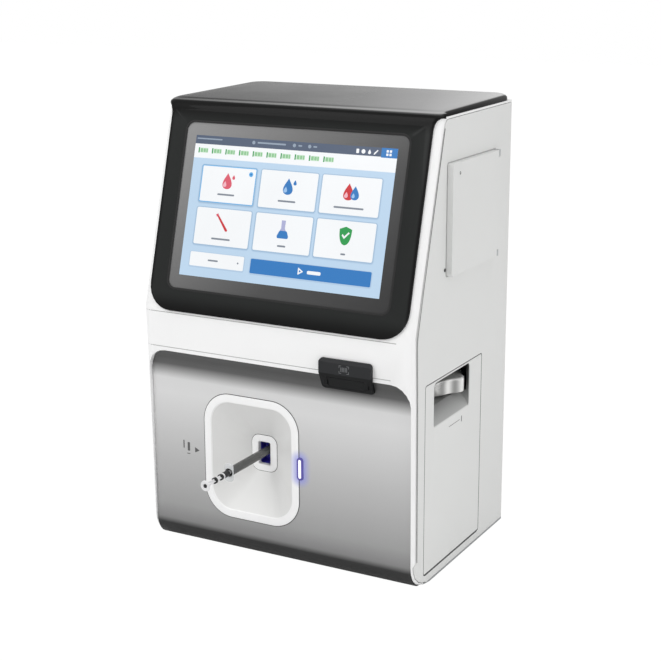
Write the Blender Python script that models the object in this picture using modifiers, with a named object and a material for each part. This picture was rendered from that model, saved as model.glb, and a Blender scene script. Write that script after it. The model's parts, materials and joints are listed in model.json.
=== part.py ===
# Benchtop blood gas analyzer: moulded shells round a sampling probe, a pump bay, a slide-out
# waste drawer and a tilted touch screen. Metres, +Z up, front towards -Y. The origin is the
# centre of the base pan's underside. Depths are measured back from the front datum.
import math

import bmesh
import bpy
from mathutils import Matrix, Vector

# Housing
BODY_WIDTH = 0.2966
BODY_DEPTH = 0.2130
SHELL_HEIGHT = 0.4370
TOP_RISE = 0.0018
WALL = 0.0030
FRAME_WALL = 0.0090
FIT_GAP = 0.0003
PANEL_SEAM = 0.0006
OVERRUN = 0.0200
WELD = 0.00001
CHEEK_ROUND = 0.0100
REAR_ROUND = 0.0040
LEAST_ROUND = 0.0010
ROUND_STEPS = 5
CORNER_STEPS = 3
SMALL_STEPS = 2
TURN_STEPS = 18
NECK_STEPS = 32
BORE_STEPS = 16
PIN_STEPS = 12

# Front profile
TOE_RADIUS = 0.0250
TOE_DEPTH = -0.0005
CHIN_FOOT_DEPTH = -0.0030
CHIN_FOOT_HEIGHT = 0.2010
CHIN_RISE = 0.0420
WAIST_RISE = 0.0348
SCREEN_TILT = math.radians(15.78)
SCREEN_FOOT_DEPTH = 0.0032
BEZEL_PROUD = 0.0022
TOE_STEPS = 5

# Seam between the white frame and the side panels
SEAM_FOOT_DEPTH = 0.0056
SEAM_FOOT_HEIGHT = 0.0295
SEAM_CHIN_DEPTH = 0.0034
SEAM_CHIN_DROP = 0.0120
SEAM_WAIST_DEPTH = 0.0016
SEAM_SLOPE_DEPTH = 0.0116
SEAM_SLOPE_RISE = 0.0022
SEAM_TILT = math.radians(16.2)
SEAM_CORNER = 0.0060
TOE_RIM = 0.0035
TOP_STRIP = 0.0026
FRAME_LAP = 0.0120
FRAME_TOE_END = 0.0202
PAN_LIP = 0.0019
REAR_WRAP = 0.0220

# Frame openings
WINDOW_SIDE = 0.0180
WINDOW_FOOT = 0.0250
WINDOW_HEAD_DROP = 0.0230
TOP_OPENING_SIDE = 0.0200
TOP_OPENING_FRONT = 0.0660
TOP_OPENING_REAR = 0.0150

# Screen hood: dark bezel and top plate
BEZEL_SIDE = 0.0083
BEZEL_FOOT = -0.0360
BEZEL_CORNER = 0.0260
FLARE_LEAD = 0.0060
FLARE_TAIL = 0.0180
FLARE_STEPS = 4
HOOD_CREST_RISE = 0.0053
HOOD_BACK_RISE = 0.0032
CREST_ROUND = 0.0100
TOP_EDGE_ROUND = 0.0045
TOP_EDGE_LEAN = 0.0080
HOOD_REAR_ROUND = 0.0180
HOOD_WALL = 0.0027
HOOD_INNER = 0.0065
HOOD_INNER_EDGE = 0.0083
HOOD_TAIL = 0.0006
CREST_STEPS = 5

# Display
LCD_SIDE = 0.0115
LCD_HEAD = 0.0127
LCD_BORDER = 0.0035
LCD_THICKNESS = 0.0044
GLASS_SIDE = 0.0200
GLASS_FOOT = -0.0137
GLASS_HEAD_MARGIN = 0.01713
GLASS_CORNER = 0.0085
GLASS_THICKNESS = 0.0020
GLASS_RECESS = 0.0007
BRACKET_SHEET = 0.0015
BRACKET_SIDE = 0.0035
BRACKET_BELOW = 0.0163
BRACKET_ABOVE = 0.0097
BRACKET_FLANGE = 0.0050
BRACKET_SLOT_LENGTH = 0.0900
BRACKET_SLOT_HEIGHT = 0.0160
BRACKET_SLOT_PITCH = 0.0330

# Fascia
FASCIA_DEPTH = 0.0031
FASCIA_SHEET = 0.0015
FASCIA_RIM = 0.0046
FASCIA_CORNER = 0.0200
FASCIA_TOP_START = 0.0008
UNDERCUT_DROP = 0.0170
ROLL_HEIGHT = 0.0220
ROLL_DEPTH = 0.0170
ROLL_END = 0.0002
BEND_STEPS = 8

# Sample port
PORT_X = -0.02975
PORT_FOOT = 0.0376
PORT_HEAD_GAP = 0.0198
PORT_WIDTH = 0.1067
PORT_CORNER = 0.0300
PORT_RIM_SIDE = 0.0078
PORT_RIM_DEPTH = 0.0024
PORT_EDGE = 0.0008
PORT_WALL = 0.0022
PORT_LIP = 0.0040
PORT_LIP_THICKNESS = 0.0016
DISH_DEPTH = 0.0270
INSERT_X = -0.0290
INSERT_WIDTH = 0.0285
INSERT_HEIGHT = 0.0370
INSERT_CORNER = 0.0085
INSERT_PROUD = 0.0012
INSERT_DEPTH = 0.0050
MOUTH_WIDTH = 0.0135
MOUTH_HEIGHT = 0.0235
MOUTH_CORNER = 0.0015
INLET_WIDTH = 0.0320
INLET_HEIGHT = 0.0400
INLET_POCKET = 0.0090
INLET_SEAL_RADIUS = 0.0050
INLET_SEAL_LENGTH = 0.0050
NEEDLE_BORE = 0.0015
PORT_CORNER_STEPS = 7

# Status light
LIGHT_X = 0.02495
LIGHT_RISE = 0.00045
LIGHT_WIDTH = 0.0067
LIGHT_HEIGHT = 0.0227
LIGHT_FRONT = 0.0019
LIGHT_LENGTH = 0.0080

# Barcode reader
POD_SIDE = 0.0421
POD_WIDTH = 0.0542
POD_RISE = 0.0173
POD_FRONT = -0.0082
POD_EDGE_RISE = 0.0036
POD_DROP = 0.0130
POD_FOOT_DEPTH = -0.0006
POD_ROUND = 0.0030
POD_NECK_INSET = 0.0040
POD_NECK_HEAD_INSET = 0.0043
POD_NECK_FOOT_INSET = 0.0050
POD_BACK = 0.0080
POD_WINDOW_INSET = 0.0080
POD_WINDOW_THICKNESS = 0.0012
POD_WINDOW_START_SHARE = 0.25
POD_WINDOW_END_SHARE = 0.85
POD_CHIN_GAP = 0.0006

# Syringe in the port
SYRINGE_X = -0.0280
SYRINGE_RISE = 0.0017
BARREL_RADIUS = 0.0042
BARREL_BORE = 0.0033
BARREL_FRONT = 0.0380
BARREL_REAR = -0.0400
LUER_RADIUS = 0.0020
LUER_BORE = 0.0010
LUER_LENGTH = 0.0070
FLANGE_WIDTH = 0.0095
FLANGE_HEIGHT = 0.0180
FLANGE_THICKNESS = 0.0016
PLUNGER_SEAL_FRONT = -0.0300
PLUNGER_SEAL_LENGTH = 0.0060
PLUNGER_END = -0.0800
PLUNGER_RADIUS = 0.0022
PLUNGER_RING_RADIUS = 0.0030
PLUNGER_RING_LENGTH = 0.0030
PLUNGER_RING_DEPTHS = (-0.0520, -0.0620)
THUMB_RADIUS = 0.0052
THUMB_THICKNESS = 0.0016
SYRINGE_CLEARANCE = 0.0003

# Sampling probe drive
PROBE_BACKING = 0.0060
PROBE_PLATE = 0.0040
PROBE_FRONT = 0.0600
PROBE_REAR_GAP = 0.0430
PROBE_BELOW = 0.0186
PROBE_ABOVE = 0.0294
PROBE_LEFT = -0.0420
SCREW_X = -0.0160
SCREW_RISE = 0.0179
SCREW_RADIUS = 0.0025
ROD_DROP = 0.0111
ROD_RADIUS = 0.0030
CARRIAGE_REAR_GAP = 0.0460
CARRIAGE_LENGTH = 0.0200
CARRIAGE_WIDTH = 0.0300
CARRIAGE_HEIGHT = 0.0390
NEEDLE_RADIUS = 0.0007
NEEDLE_TIP = 0.0500
NEEDLE_POINT = 0.0021
NEEDLE_SHEATH_RADIUS = 0.0025
NEEDLE_SHEATH = 0.0200
RUN_CLEARANCE = 0.0003
MOTOR_SIDE = 0.0260
MOTOR_LENGTH = 0.0300
MOTOR_CORNER = 0.0040

# Waste drawer
DOOR_FRONT = 0.0200
DOOR_REAR = 0.1476
DOOR_FOOT = 0.0114
DOOR_HEAD_GAP = 0.0090
DOOR_CORNER = 0.0020
DOOR_GAP_FOOT = 0.0016
RECESS_FRONT_RIM = 0.0180
RECESS_WIDTH = 0.0810
RECESS_HEIGHT = 0.0435
RECESS_HEAD_RIM = 0.0015
RECESS_CORNER = 0.0040
RECESS_LENGTH = 0.0700
RECESS_WALL = 0.0015
SCOOP_FLAT_LENGTH = 0.0110
SCOOP_HEIGHT = 0.0145
BAY_INNER_X = 0.0038
BAY_FRONT_GAP = 0.0018
BAY_REAR_GAP = 0.0036
BAY_HEAD_GAP = 0.0050
BAY_SHEET = 0.0012
RUNNER_WIDTH = 0.0020
RUNNER_HEIGHT = 0.0060
RUNNER_FOOT = 0.0160
TRAY_INNER_X = 0.0080
TRAY_SHEET = 0.0012
TRAY_WALL_HEIGHT = 0.0180
TRAY_BASE = 0.0120
TANK_LENGTH = 0.0883
TANK_DROP = 0.0210
TANK_WALL = 0.0020
TANK_CLEARANCE = 0.0006
TANK_ROUND = 0.0040
NECK_RADIUS = 0.0220
NECK_WALL = 0.0030
NECK_DROP = 0.0070
GASKET_THICKNESS = 0.0015
CAP_INSET_X = 0.0353
CAP_INSET_Y = 0.0725
CAP_HEIGHT = 0.0145
CAP_HEADROOM = 0.0130
CAP_RADIUS = 0.0302
CAP_LOBE = 0.0024
CAP_LOBES = 6
CAP_STEPS = 60
CAP_BOSS_RADIUS = 0.0080
CAP_BOSS_HEIGHT = 0.0030
PACK_SIDE_GAP = 0.0030
PACK_HEAD_GAP = 0.0120
PACK_PORT_RADIUS = 0.0050
PACK_PORT_LENGTH = 0.0015
PACK_PORTS = 3
PACK_PORT_PITCH = 0.0300

# Side cover and service bay
COVER_REAR_GAP = 0.0410
COVER_LENGTH = 0.1120
COVER_DROP = 0.0420
COVER_HEIGHT = 0.1040
COVER_CORNER = 0.0030
COVER_THICKNESS = 0.0057
COVER_SHEET = 0.0020
COVER_RIM = 0.0020
COVER_PIN_RADIUS = 0.0010
COVER_PIN_CLEARANCE = 0.0003
LEAF_WIDTH = 0.0065
LEAF_SHEET = 0.0012
LUG_LENGTH = 0.0060
LUG_GAP = 0.0005
LUG_STEPS = 13
SERVICE_MARGIN = 0.0080
SERVICE_LENGTH = 0.0380
SERVICE_SHEET = 0.0015
SERVICE_FLANGE = 0.0050
PUMP_INSET = 0.0350
PUMP_RISE = 0.0370
PUMP_SIDE = 0.0460
PUMP_LENGTH = 0.0180
PUMP_CORNER = 0.0050
PUMP_POCKET = 0.0190
PUMP_FLOOR = 0.0030
ROTOR_RADIUS = 0.0135
ROTOR_CHEEK = 0.0020
ROTOR_SPAN = 0.0074
ROTOR_SHAFT = 0.0025
ROLLER_RADIUS = 0.0038
ROLLER_ORBIT = 0.0110
ROLLER_PIN = 0.0012
ROLLERS = 3
PUMP_TUBE_RADIUS = 0.0016
PUMP_TUBE_LEG = 0.0260
PUMP_TUBE_STEPS = 18
PUMP_MOTOR_RADIUS = 0.0180
PUMP_MOTOR_LENGTH = 0.0300
SENSOR_REAR_INSET = 0.0160
SENSOR_WIDTH = 0.0320
SENSOR_FOOT_INSET = 0.0120
SENSOR_HEAD_INSET = 0.0150
SENSOR_LENGTH = 0.0240
SENSOR_GRIP_LENGTH = 0.0060
SENSOR_GRIP_HEIGHT = 0.0180
SENSOR_GRIP_WIDTH = 0.0120

# Chassis
SHELF_RISE = 0.0040
SHELF_SHEET = 0.0015
SHELF_FRONT = 0.0200
DIVIDER_X = 0.0020
DIVIDER_SHEET = 0.0015
PAN_FRONT = 0.0205
PAN_FLANGE_HEIGHT = 0.0090
PAN_SHEET = 0.0015
PAN_RIM_SETBACK = 0.0125
PAN_SLOTS = 4
PAN_SLOT_WIDTH = 0.0040
PAN_SLOT_LENGTH = 0.0500
PAN_SLOT_PITCH = 0.0130
FOOT_RADIUS = 0.0100
FOOT_TAPER = 0.0015
FOOT_HEIGHT = 0.0040
FOOT_STEM = 0.0027
FOOT_STEM_LENGTH = 0.0050
FOOT_INSET_X = 0.0260
FOOT_INSET_FRONT = 0.0460
FOOT_INSET_REAR = 0.0300

# Rear panel and electronics
VENT_SLOTS = 8
VENT_WIDTH = 0.0600
VENT_HEIGHT = 0.0030
VENT_PITCH = 0.0080
VENT_INSET = 0.0983
VENT_Z = 0.0700
FAN_INSET = 0.0683
FAN_DROP = 0.0970
FAN_SIDE = 0.0600
FAN_THICKNESS = 0.0150
FAN_CORNER = 0.0050
FAN_BORE = 0.0280
FAN_BLADE_RADIUS = 0.0265
FAN_HUB_RADIUS = 0.0110
FAN_BLADES = 7
FAN_BLADE_THICKNESS = 0.0014
FAN_BLADE_WIDTH = 0.0100
FAN_BLADE_PITCH = math.radians(38.0)
FAN_ARM = 0.0030
FAN_SPINDLE = 0.0020
GRILLE_RINGS = 3
GRILLE_STEPS = 24
GRILLE_RING_WIDTH = 0.0020
GRILLE_SPOKE = 0.0030
BOARD_SIDE = 0.0263
BOARD_RIGHT = 0.0200
BOARD_FOOT_GAP = 0.0100
BOARD_HEAD_GAP = 0.0320
BOARD_THICKNESS = 0.0016
BOARD_STANDOFF = 0.0080
BOARD_STUD_RADIUS = 0.0030
BOARD_STUD_INSET = 0.0070
CHIP_SIDE = 0.0300
CHIP_HEIGHT = 0.0030
IO_INSET = 0.0783
IO_RISE = 0.0250
IO_WIDTH = 0.0540
IO_HEIGHT = 0.0150
IO_LENGTH = 0.0095
IO_PORT_WIDTH = 0.0130
IO_PORT_HEIGHT = 0.0060
IO_PORT_DEPTH = 0.0060
IO_PORT_PITCH = 0.0175
SUPPLY_SIDE = 0.0103
SUPPLY_WIDTH = 0.0900
SUPPLY_REAR_GAP = 0.0380
SUPPLY_LENGTH = 0.1150
SUPPLY_HEIGHT = 0.0400
SUPPLY_SLOTS = 6
SUPPLY_SLOT_WIDTH = 0.0030
SUPPLY_SLOT_DEPTH = 0.0020
SUPPLY_SLOT_LENGTH_SHARE = 0.5
POWER_INSET = 0.0483
POWER_Z = 0.0520
POWER_WIDTH = 0.0480
POWER_HEIGHT = 0.0280
POWER_LENGTH = 0.0240
POWER_FLANGE = 0.0040
POWER_FLANGE_THICKNESS = 0.0020
POWER_SOCKET_WIDTH = 0.0240
POWER_SOCKET_HEIGHT = 0.0160
POWER_SOCKET_DEPTH = 0.0160
POWER_SOCKET_SHIFT = -0.0090
POWER_PIN_WIDTH = 0.0020
POWER_PIN_HEIGHT = 0.0040
POWER_PIN_PITCH = 0.0070
POWER_PIN_LENGTH = 0.0110
ROCKER_SHIFT = 0.0150
ROCKER_WIDTH = 0.0110
ROCKER_HEIGHT = 0.0190
ROCKER_POCKET_DEPTH = 0.0090
ROCKER_DEPTH = 0.0055
ROCKER_TIP = math.radians(9.0)
ROCKER_CLEARANCE = 0.0008
ROCKER_PIVOT_RADIUS = 0.0012
ROCKER_PIVOT_LENGTH = 0.0010

HALF_WIDTH = BODY_WIDTH / 2
FRONT = -BODY_DEPTH / 2
BACK = BODY_DEPTH / 2
SCREEN_SLOPE = math.tan(SCREEN_TILT)
INNER_FACE = HALF_WIDTH - WALL - FIT_GAP

# Heights that follow the chin's foot and the shell's top
WAIST_HEIGHT = CHIN_FOOT_HEIGHT + CHIN_RISE
SCREEN_FOOT_HEIGHT = WAIST_HEIGHT + WAIST_RISE
SEAM_CHIN_HEIGHT = CHIN_FOOT_HEIGHT - SEAM_CHIN_DROP
SEAM_SLOPE_HEIGHT = SCREEN_FOOT_HEIGHT + SEAM_SLOPE_RISE
UNDERCUT_FOOT = CHIN_FOOT_HEIGHT - UNDERCUT_DROP
WINDOW_HEAD = CHIN_FOOT_HEIGHT - WINDOW_HEAD_DROP
SHELF_HEIGHT = CHIN_FOOT_HEIGHT + SHELF_RISE
TOP_CREST_HEIGHT = SHELL_HEIGHT + HOOD_CREST_RISE
TOP_BACK_HEIGHT = TOP_CREST_HEIGHT + HOOD_BACK_RISE

# Display and bezel, on the slope between the waist and the top
GLASS_HEAD = (SHELL_HEIGHT - SCREEN_FOOT_HEIGHT) / math.cos(SCREEN_TILT) - GLASS_HEAD_MARGIN
LCD_HEIGHT = GLASS_HEAD - LCD_HEAD
FLARE_START = GLASS_HEAD + FLARE_LEAD
FLARE_END = GLASS_HEAD + FLARE_TAIL
BEZEL_HALF = HALF_WIDTH - BEZEL_SIDE
GLASS_WIDTH = 2 * (BEZEL_HALF - GLASS_SIDE)
LCD_WIDTH = GLASS_WIDTH - 2 * LCD_SIDE
BRACKET_HALF = BEZEL_HALF - BRACKET_SIDE
BRACKET_FOOT = GLASS_FOOT - BRACKET_BELOW
BRACKET_HEAD = GLASS_HEAD + BRACKET_ABOVE

# Port, light, reader, syringe and probe
PORT_HEIGHT = UNDERCUT_FOOT - PORT_HEAD_GAP - PORT_FOOT
PORT_Z = PORT_FOOT + PORT_HEIGHT / 2
LIGHT_Z = PORT_Z + LIGHT_RISE
SYRINGE_Z = PORT_Z + SYRINGE_RISE
POD_RIGHT = HALF_WIDTH - POD_SIDE
POD_LEFT = POD_RIGHT - POD_WIDTH
POD_TOP = CHIN_FOOT_HEIGHT + POD_RISE
POD_EDGE = CHIN_FOOT_HEIGHT + POD_EDGE_RISE
POD_FOOT = CHIN_FOOT_HEIGHT - POD_DROP
POD_NECK_TOP = POD_TOP - POD_NECK_HEAD_INSET
POD_NECK_FOOT = POD_FOOT + POD_NECK_FOOT_INSET
PROBE_REAR = BODY_DEPTH - PROBE_REAR_GAP
PROBE_FOOT = SYRINGE_Z - PROBE_BELOW
PROBE_HEAD = SYRINGE_Z + PROBE_ABOVE
CARRIAGE_DEPTH = PROBE_REAR - CARRIAGE_REAR_GAP
SCREW_Z = SYRINGE_Z + SCREW_RISE
ROD_Z = SYRINGE_Z - ROD_DROP

# Drawer, tank and cap
DOOR_HEAD = SHELF_HEIGHT - DOOR_HEAD_GAP
BAY_HEAD = SHELF_HEIGHT - BAY_HEAD_GAP
BAY_FRONT = DOOR_FRONT - BAY_FRONT_GAP
BAY_REAR = DOOR_REAR + BAY_REAR_GAP
RECESS_FRONT = DOOR_FRONT + RECESS_FRONT_RIM
RECESS_REAR = RECESS_FRONT + RECESS_WIDTH
RECESS_HEAD = DOOR_HEAD - RECESS_HEAD_RIM
RECESS_FOOT = RECESS_HEAD - RECESS_HEIGHT
CAP_X = HALF_WIDTH - CAP_INSET_X
CAP_DEPTH = RECESS_FRONT + CAP_INSET_Y
CAP_TOP = RECESS_HEAD - CAP_HEADROOM
CAP_FOOT = CAP_TOP - CAP_HEIGHT
NECK_TOP = CAP_TOP - NECK_DROP
TANK_TOP = CAP_FOOT - TANK_DROP
TANK_INNER_X = HALF_WIDTH - TANK_LENGTH
PACK_OUTER_X = TANK_INNER_X - PACK_SIDE_GAP
PACK_TOP = BAY_HEAD - PACK_HEAD_GAP

# Side cover, pump and sensor
COVER_REAR = BODY_DEPTH - COVER_REAR_GAP
COVER_FRONT = COVER_REAR - COVER_LENGTH
COVER_HEAD = SHELL_HEIGHT - COVER_DROP
COVER_FOOT = COVER_HEAD - COVER_HEIGHT
PUMP_DEPTH = COVER_FRONT + PUMP_INSET
PUMP_Z = COVER_FOOT + PUMP_RISE
SENSOR_REAR = COVER_REAR - SENSOR_REAR_INSET
SENSOR_FRONT = SENSOR_REAR - SENSOR_WIDTH
SENSOR_FOOT = COVER_FOOT + SENSOR_FOOT_INSET
SENSOR_HEAD = COVER_HEAD - SENSOR_HEAD_INSET

# Rear panel and electronics
VENT_X = VENT_INSET - HALF_WIDTH
FAN_X = HALF_WIDTH - FAN_INSET
FAN_Z = SHELL_HEIGHT - FAN_DROP
BOARD_LEFT = BOARD_SIDE - HALF_WIDTH
BOARD_FOOT = SHELF_HEIGHT + BOARD_FOOT_GAP
BOARD_HEAD = SHELL_HEIGHT - BOARD_HEAD_GAP
IO_X = IO_INSET - HALF_WIDTH
IO_Z = SHELF_HEIGHT + IO_RISE
SUPPLY_LEFT = SUPPLY_SIDE - HALF_WIDTH
SUPPLY_RIGHT = SUPPLY_LEFT + SUPPLY_WIDTH
SUPPLY_REAR = BODY_DEPTH - SUPPLY_REAR_GAP
SUPPLY_FRONT = SUPPLY_REAR - SUPPLY_LENGTH
POWER_X = POWER_INSET - HALF_WIDTH

for old in list(bpy.data.objects):
    bpy.data.objects.remove(old)
parts = bpy.data.collections.new("blood_gas_analyzer")
cutters = bpy.data.collections.new("cutters")
for holder in (parts, cutters):
    bpy.context.scene.collection.children.link(holder)

PLANES = {
    "XY": Matrix.Identity(4),
    "XZ": Matrix(((1, 0, 0, 0), (0, 0, -1, 0), (0, 1, 0, 0), (0, 0, 0, 1))),
    "YZ": Matrix(((0, 0, 1, 0), (1, 0, 0, 0), (0, 1, 0, 0), (0, 0, 0, 1))),
}
# The screen plane: x across, then up the slope from the display's lower edge, then outward.
PLANES["SCREEN"] = (
    Matrix.Translation((0, FRONT + SCREEN_FOOT_DEPTH, SCREEN_FOOT_HEIGHT))
    @ Matrix.Rotation(math.pi / 2 - SCREEN_TILT, 4, "X")
)


# Shapes

def place(obj, target):
    for old_holder in list(obj.users_collection):
        old_holder.objects.unlink(obj)
    target.objects.link(obj)
    if target is cutters:
        obj.hide_render = True
        obj.display_type = "WIRE"
    return obj


def mesh_object(name, bm, target, matrix=None):
    bmesh.ops.recalc_face_normals(bm, faces=bm.faces)
    mesh = bpy.data.meshes.new(name)
    bm.to_mesh(mesh)
    bm.free()
    obj = bpy.data.objects.new(name, mesh)
    if matrix is not None:
        obj.matrix_world = matrix
    return place(obj, target)


def welded(name, curve, target, matrix=None):
    """The mesh that a curve makes, with its caps joined on."""
    guide = place(bpy.data.objects.new(name, curve), cutters)
    graph = bpy.context.evaluated_depsgraph_get()
    mesh = bpy.data.meshes.new_from_object(guide.evaluated_get(graph))
    bm = bmesh.new()
    bm.from_mesh(mesh)
    bmesh.ops.remove_doubles(bm, verts=bm.verts, dist=WELD)
    bpy.data.objects.remove(guide)
    return mesh_object(name, bm, target, matrix)


def prism(name, outlines, plane, low, high, target=None):
    """A flat outline, with any holes, filled and extruded between two heights of its plane."""
    curve = bpy.data.curves.new(name, "CURVE")
    curve.dimensions = "2D"
    curve.fill_mode = "BOTH"
    curve.extrude = (high - low) / 2
    for outline in outlines:
        spline = curve.splines.new("POLY")
        spline.points.add(len(outline) - 1)
        for point, (across, up) in zip(spline.points, outline):
            point.co = (across, up, 0, 1)
        spline.use_cyclic_u = True
    middle = (low + high) / 2
    lift = -middle if plane == "XZ" else middle
    return welded(name, curve, target or parts, PLANES[plane] @ Matrix.Translation((0, 0, lift)))


def loft(name, loops, target=None, ring=False):
    """Closed loops joined one to the next; a ring joins the last to the first."""
    bm = bmesh.new()
    rows = [[bm.verts.new(point) for point in loop] for loop in loops]
    pairs = list(zip(rows, rows[1:]))
    if ring:
        pairs.append((rows[-1], rows[0]))
    else:
        bm.faces.new(rows[0])
        bm.faces.new(rows[-1])
    for low, high in pairs:
        for index in range(len(low)):
            after = (index + 1) % len(low)
            bm.faces.new((low[index], low[after], high[after], high[index]))
    return mesh_object(name, bm, target or parts)


def box(name, x, y, z, target=None):
    bpy.ops.mesh.primitive_cube_add(size=1)
    obj = bpy.context.object
    obj.name = name
    centre = [(pair[0] + pair[1]) / 2 for pair in (x, y, z)]
    size = [pair[1] - pair[0] for pair in (x, y, z)]
    obj.data.transform(Matrix.Diagonal((*size, 1)))
    obj.location = centre
    return place(obj, target or parts)


AXES = {"X": (0, math.pi / 2, 0), "Y": (-math.pi / 2, 0, 0), "Z": (0, 0, 0)}


def rod(name, axis, centre, radius, span, target=None, steps=TURN_STEPS):
    """A cylinder along an axis, between the two values of span; centre holds the other two."""
    middle = (span[0] + span[1]) / 2
    where = {
        "X": (middle, centre[0], centre[1]),
        "Y": (centre[0], middle, centre[1]),
        "Z": (centre[0], centre[1], middle),
    }[axis]
    bpy.ops.mesh.primitive_cylinder_add(
        vertices=steps, radius=radius, depth=span[1] - span[0], location=where, rotation=AXES[axis]
    )
    obj = bpy.context.object
    obj.name = name
    obj.data.shade_smooth()
    obj.data.set_sharp_from_angle(angle=math.radians(40))
    return place(obj, target or parts)


def turned(name, profile, axis, centre, target=None, steps=TURN_STEPS):
    """A profile of (radius, height) points spun round an axis through centre."""
    bm = bmesh.new()
    corners = [bm.verts.new((radius, 0, height)) for radius, height in profile]
    for first, second in zip(corners, corners[1:]):
        bm.edges.new((first, second))
    if profile[0][0] > 0:
        bm.edges.new((corners[-1], corners[0]))
    mesh = bpy.data.meshes.new(name)
    bm.to_mesh(mesh)
    bm.free()
    obj = bpy.data.objects.new(name, mesh)
    obj.location = centre
    obj.rotation_euler = AXES[axis]
    spin = obj.modifiers.new("turn", "SCREW")
    spin.steps = steps
    spin.render_steps = steps
    spin.use_merge_vertices = True
    spin.merge_threshold = WELD
    spin.use_smooth_shade = False
    return place(obj, target or parts)


def boolean(target, cutter, operation="DIFFERENCE"):
    modifier = target.modifiers.new(cutter.name, "BOOLEAN")
    modifier.operation = operation
    modifier.solver = "EXACT"
    modifier.object = cutter


def cut(target, *tools):
    for tool in tools:
        boolean(target, tool)


def join(target, *tools):
    for tool in tools:
        boolean(target, tool, "UNION")


def soften(obj, width, segments=2, angle=math.radians(40)):
    bevel = obj.modifiers.new("edges", "BEVEL")
    bevel.width = width
    bevel.segments = segments
    bevel.limit_method = "ANGLE"
    bevel.angle_limit = angle


def finish(obj, colour, roughness, metallic=0.0):
    material = bpy.data.materials.new(obj.name)
    material.use_nodes = True
    shader = material.node_tree.nodes["Principled BSDF"]
    shader.inputs["Base Color"].default_value = (*colour, 1)
    shader.inputs["Roughness"].default_value = roughness
    shader.inputs["Metallic"].default_value = metallic
    obj.data.materials.append(material)
    return obj


def carry(name, where, *pieces):
    """An empty on a joint's axis, which its moving pieces follow."""
    empty = place(bpy.data.objects.new(name, None), parts)
    empty.location = where
    bpy.context.view_layer.update()
    for obj in pieces:
        obj.parent = empty
        obj.matrix_parent_inverse = empty.matrix_world.inverted()
    return empty


# Outlines

def arc(centre, radii, start, end, steps):
    angles = [start + (end - start) * step / steps for step in range(steps + 1)]
    return [(centre[0] + radii[0] * math.cos(a), centre[1] + radii[1] * math.sin(a)) for a in angles]


def rounded(left, right, foot, head, radius, steps=ROUND_STEPS):
    quarter = math.pi / 2
    middles = ((right - radius, head - radius), (left + radius, head - radius),
               (left + radius, foot + radius), (right - radius, foot + radius))
    points = []
    for turn, middle in enumerate(middles):
        points += arc(middle, (radius, radius), quarter * turn, quarter * (turn + 1), steps)
    return points


def depth(distance):
    """World y at a distance behind the front datum."""
    return FRONT + distance


def bezel_y(height, behind=0.0):
    """World y of the screen plane at a height, or of a plane this far behind it."""
    run = (height - SCREEN_FOOT_HEIGHT) * SCREEN_SLOPE
    return depth(SCREEN_FOOT_DEPTH) + run + behind / math.cos(SCREEN_TILT)


def top_line(y, inset=0.0):
    crest = bezel_y(SHELL_HEIGHT, BEZEL_PROUD)
    return SHELL_HEIGHT - inset + TOP_RISE * (y - crest) / (BACK - crest)


def plan_loop(front, half, rear, front_round, rear_round):
    """A rounded plan outline of (x, y, frontness) points; frontness is 1 on the front edge."""
    points = []
    for x, y in rounded(-half, half, rear - 2 * rear_round, rear, rear_round)[:2 * ROUND_STEPS + 2]:
        points.append((x, y, 0.0))
    corner = rounded(-half, half, front, front + 2 * front_round, front_round)[2 * ROUND_STEPS + 2:]
    for index, (x, y) in enumerate(corner):
        share = (index % (ROUND_STEPS + 1)) / ROUND_STEPS
        points.append((x, y, share if index <= ROUND_STEPS else 1 - share))
    return points


def shell_levels(inset):
    """(front y, height) up the housing's front, moved inward by inset and open below."""
    toe_y = depth(TOE_DEPTH) + TOE_RADIUS
    radius = TOE_RADIUS - inset
    toe = arc((toe_y, TOE_RADIUS), (radius, radius), -math.pi / 2, -math.pi, TOE_STEPS)
    levels = [(toe_y, -OVERRUN)] if inset > 0 else []
    levels += toe
    levels.append((depth(CHIN_FOOT_DEPTH) + inset, CHIN_FOOT_HEIGHT))
    levels.append((bezel_y(WAIST_HEIGHT, BEZEL_PROUD + inset), WAIST_HEIGHT))
    levels.append((bezel_y(SHELL_HEIGHT - inset, BEZEL_PROUD + inset), None))
    return levels


def shell_body(name, inset):
    """The housing's outer form, moved inward by inset."""
    front_round = max(CHEEK_ROUND - inset, LEAST_ROUND)
    rear_round = max(REAR_ROUND - inset, LEAST_ROUND)
    loops = []
    for front, height in shell_levels(inset):
        plan = plan_loop(front, HALF_WIDTH - inset, BACK - inset, front_round, rear_round)
        loops.append([(x, y, top_line(y, inset) if height is None else height) for x, y, _ in plan])
    return loft(name, loops, cutters)


def hood_top(y):
    crest = bezel_y(TOP_CREST_HEIGHT)
    return TOP_CREST_HEIGHT + (TOP_BACK_HEIGHT - TOP_CREST_HEIGHT) * (y - crest) / (BACK - crest)


def hood_body(name, low):
    """The hood's outer form: straight up the screen plane, then rounded over its top edge."""
    loops = []
    start = TOP_CREST_HEIGHT - CREST_ROUND
    for height in (low, start):
        plan = plan_loop(bezel_y(height), HALF_WIDTH, BACK, CHEEK_ROUND, HOOD_REAR_ROUND)
        loops.append([(x, y, height) for x, y, _ in plan])
    for step in range(1, CREST_STEPS + 1):
        angle = math.pi / 2 * step / CREST_STEPS
        side = TOP_EDGE_LEAN * (1 - math.cos(angle))
        lean = CREST_ROUND * (1 - math.cos(angle))
        height = start + CREST_ROUND * math.sin(angle)
        plan = plan_loop(bezel_y(height) + lean, HALF_WIDTH - side, BACK - side,
                         CHEEK_ROUND, HOOD_REAR_ROUND - side)
        loop = []
        for x, y, share in plan:
            drop = (share * CREST_ROUND + (1 - share) * TOP_EDGE_ROUND) * (1 - math.sin(angle))
            loop.append((x, y, hood_top(y) - drop))
        loops.append(loop)
    return loft(name, loops, parts)


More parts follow.
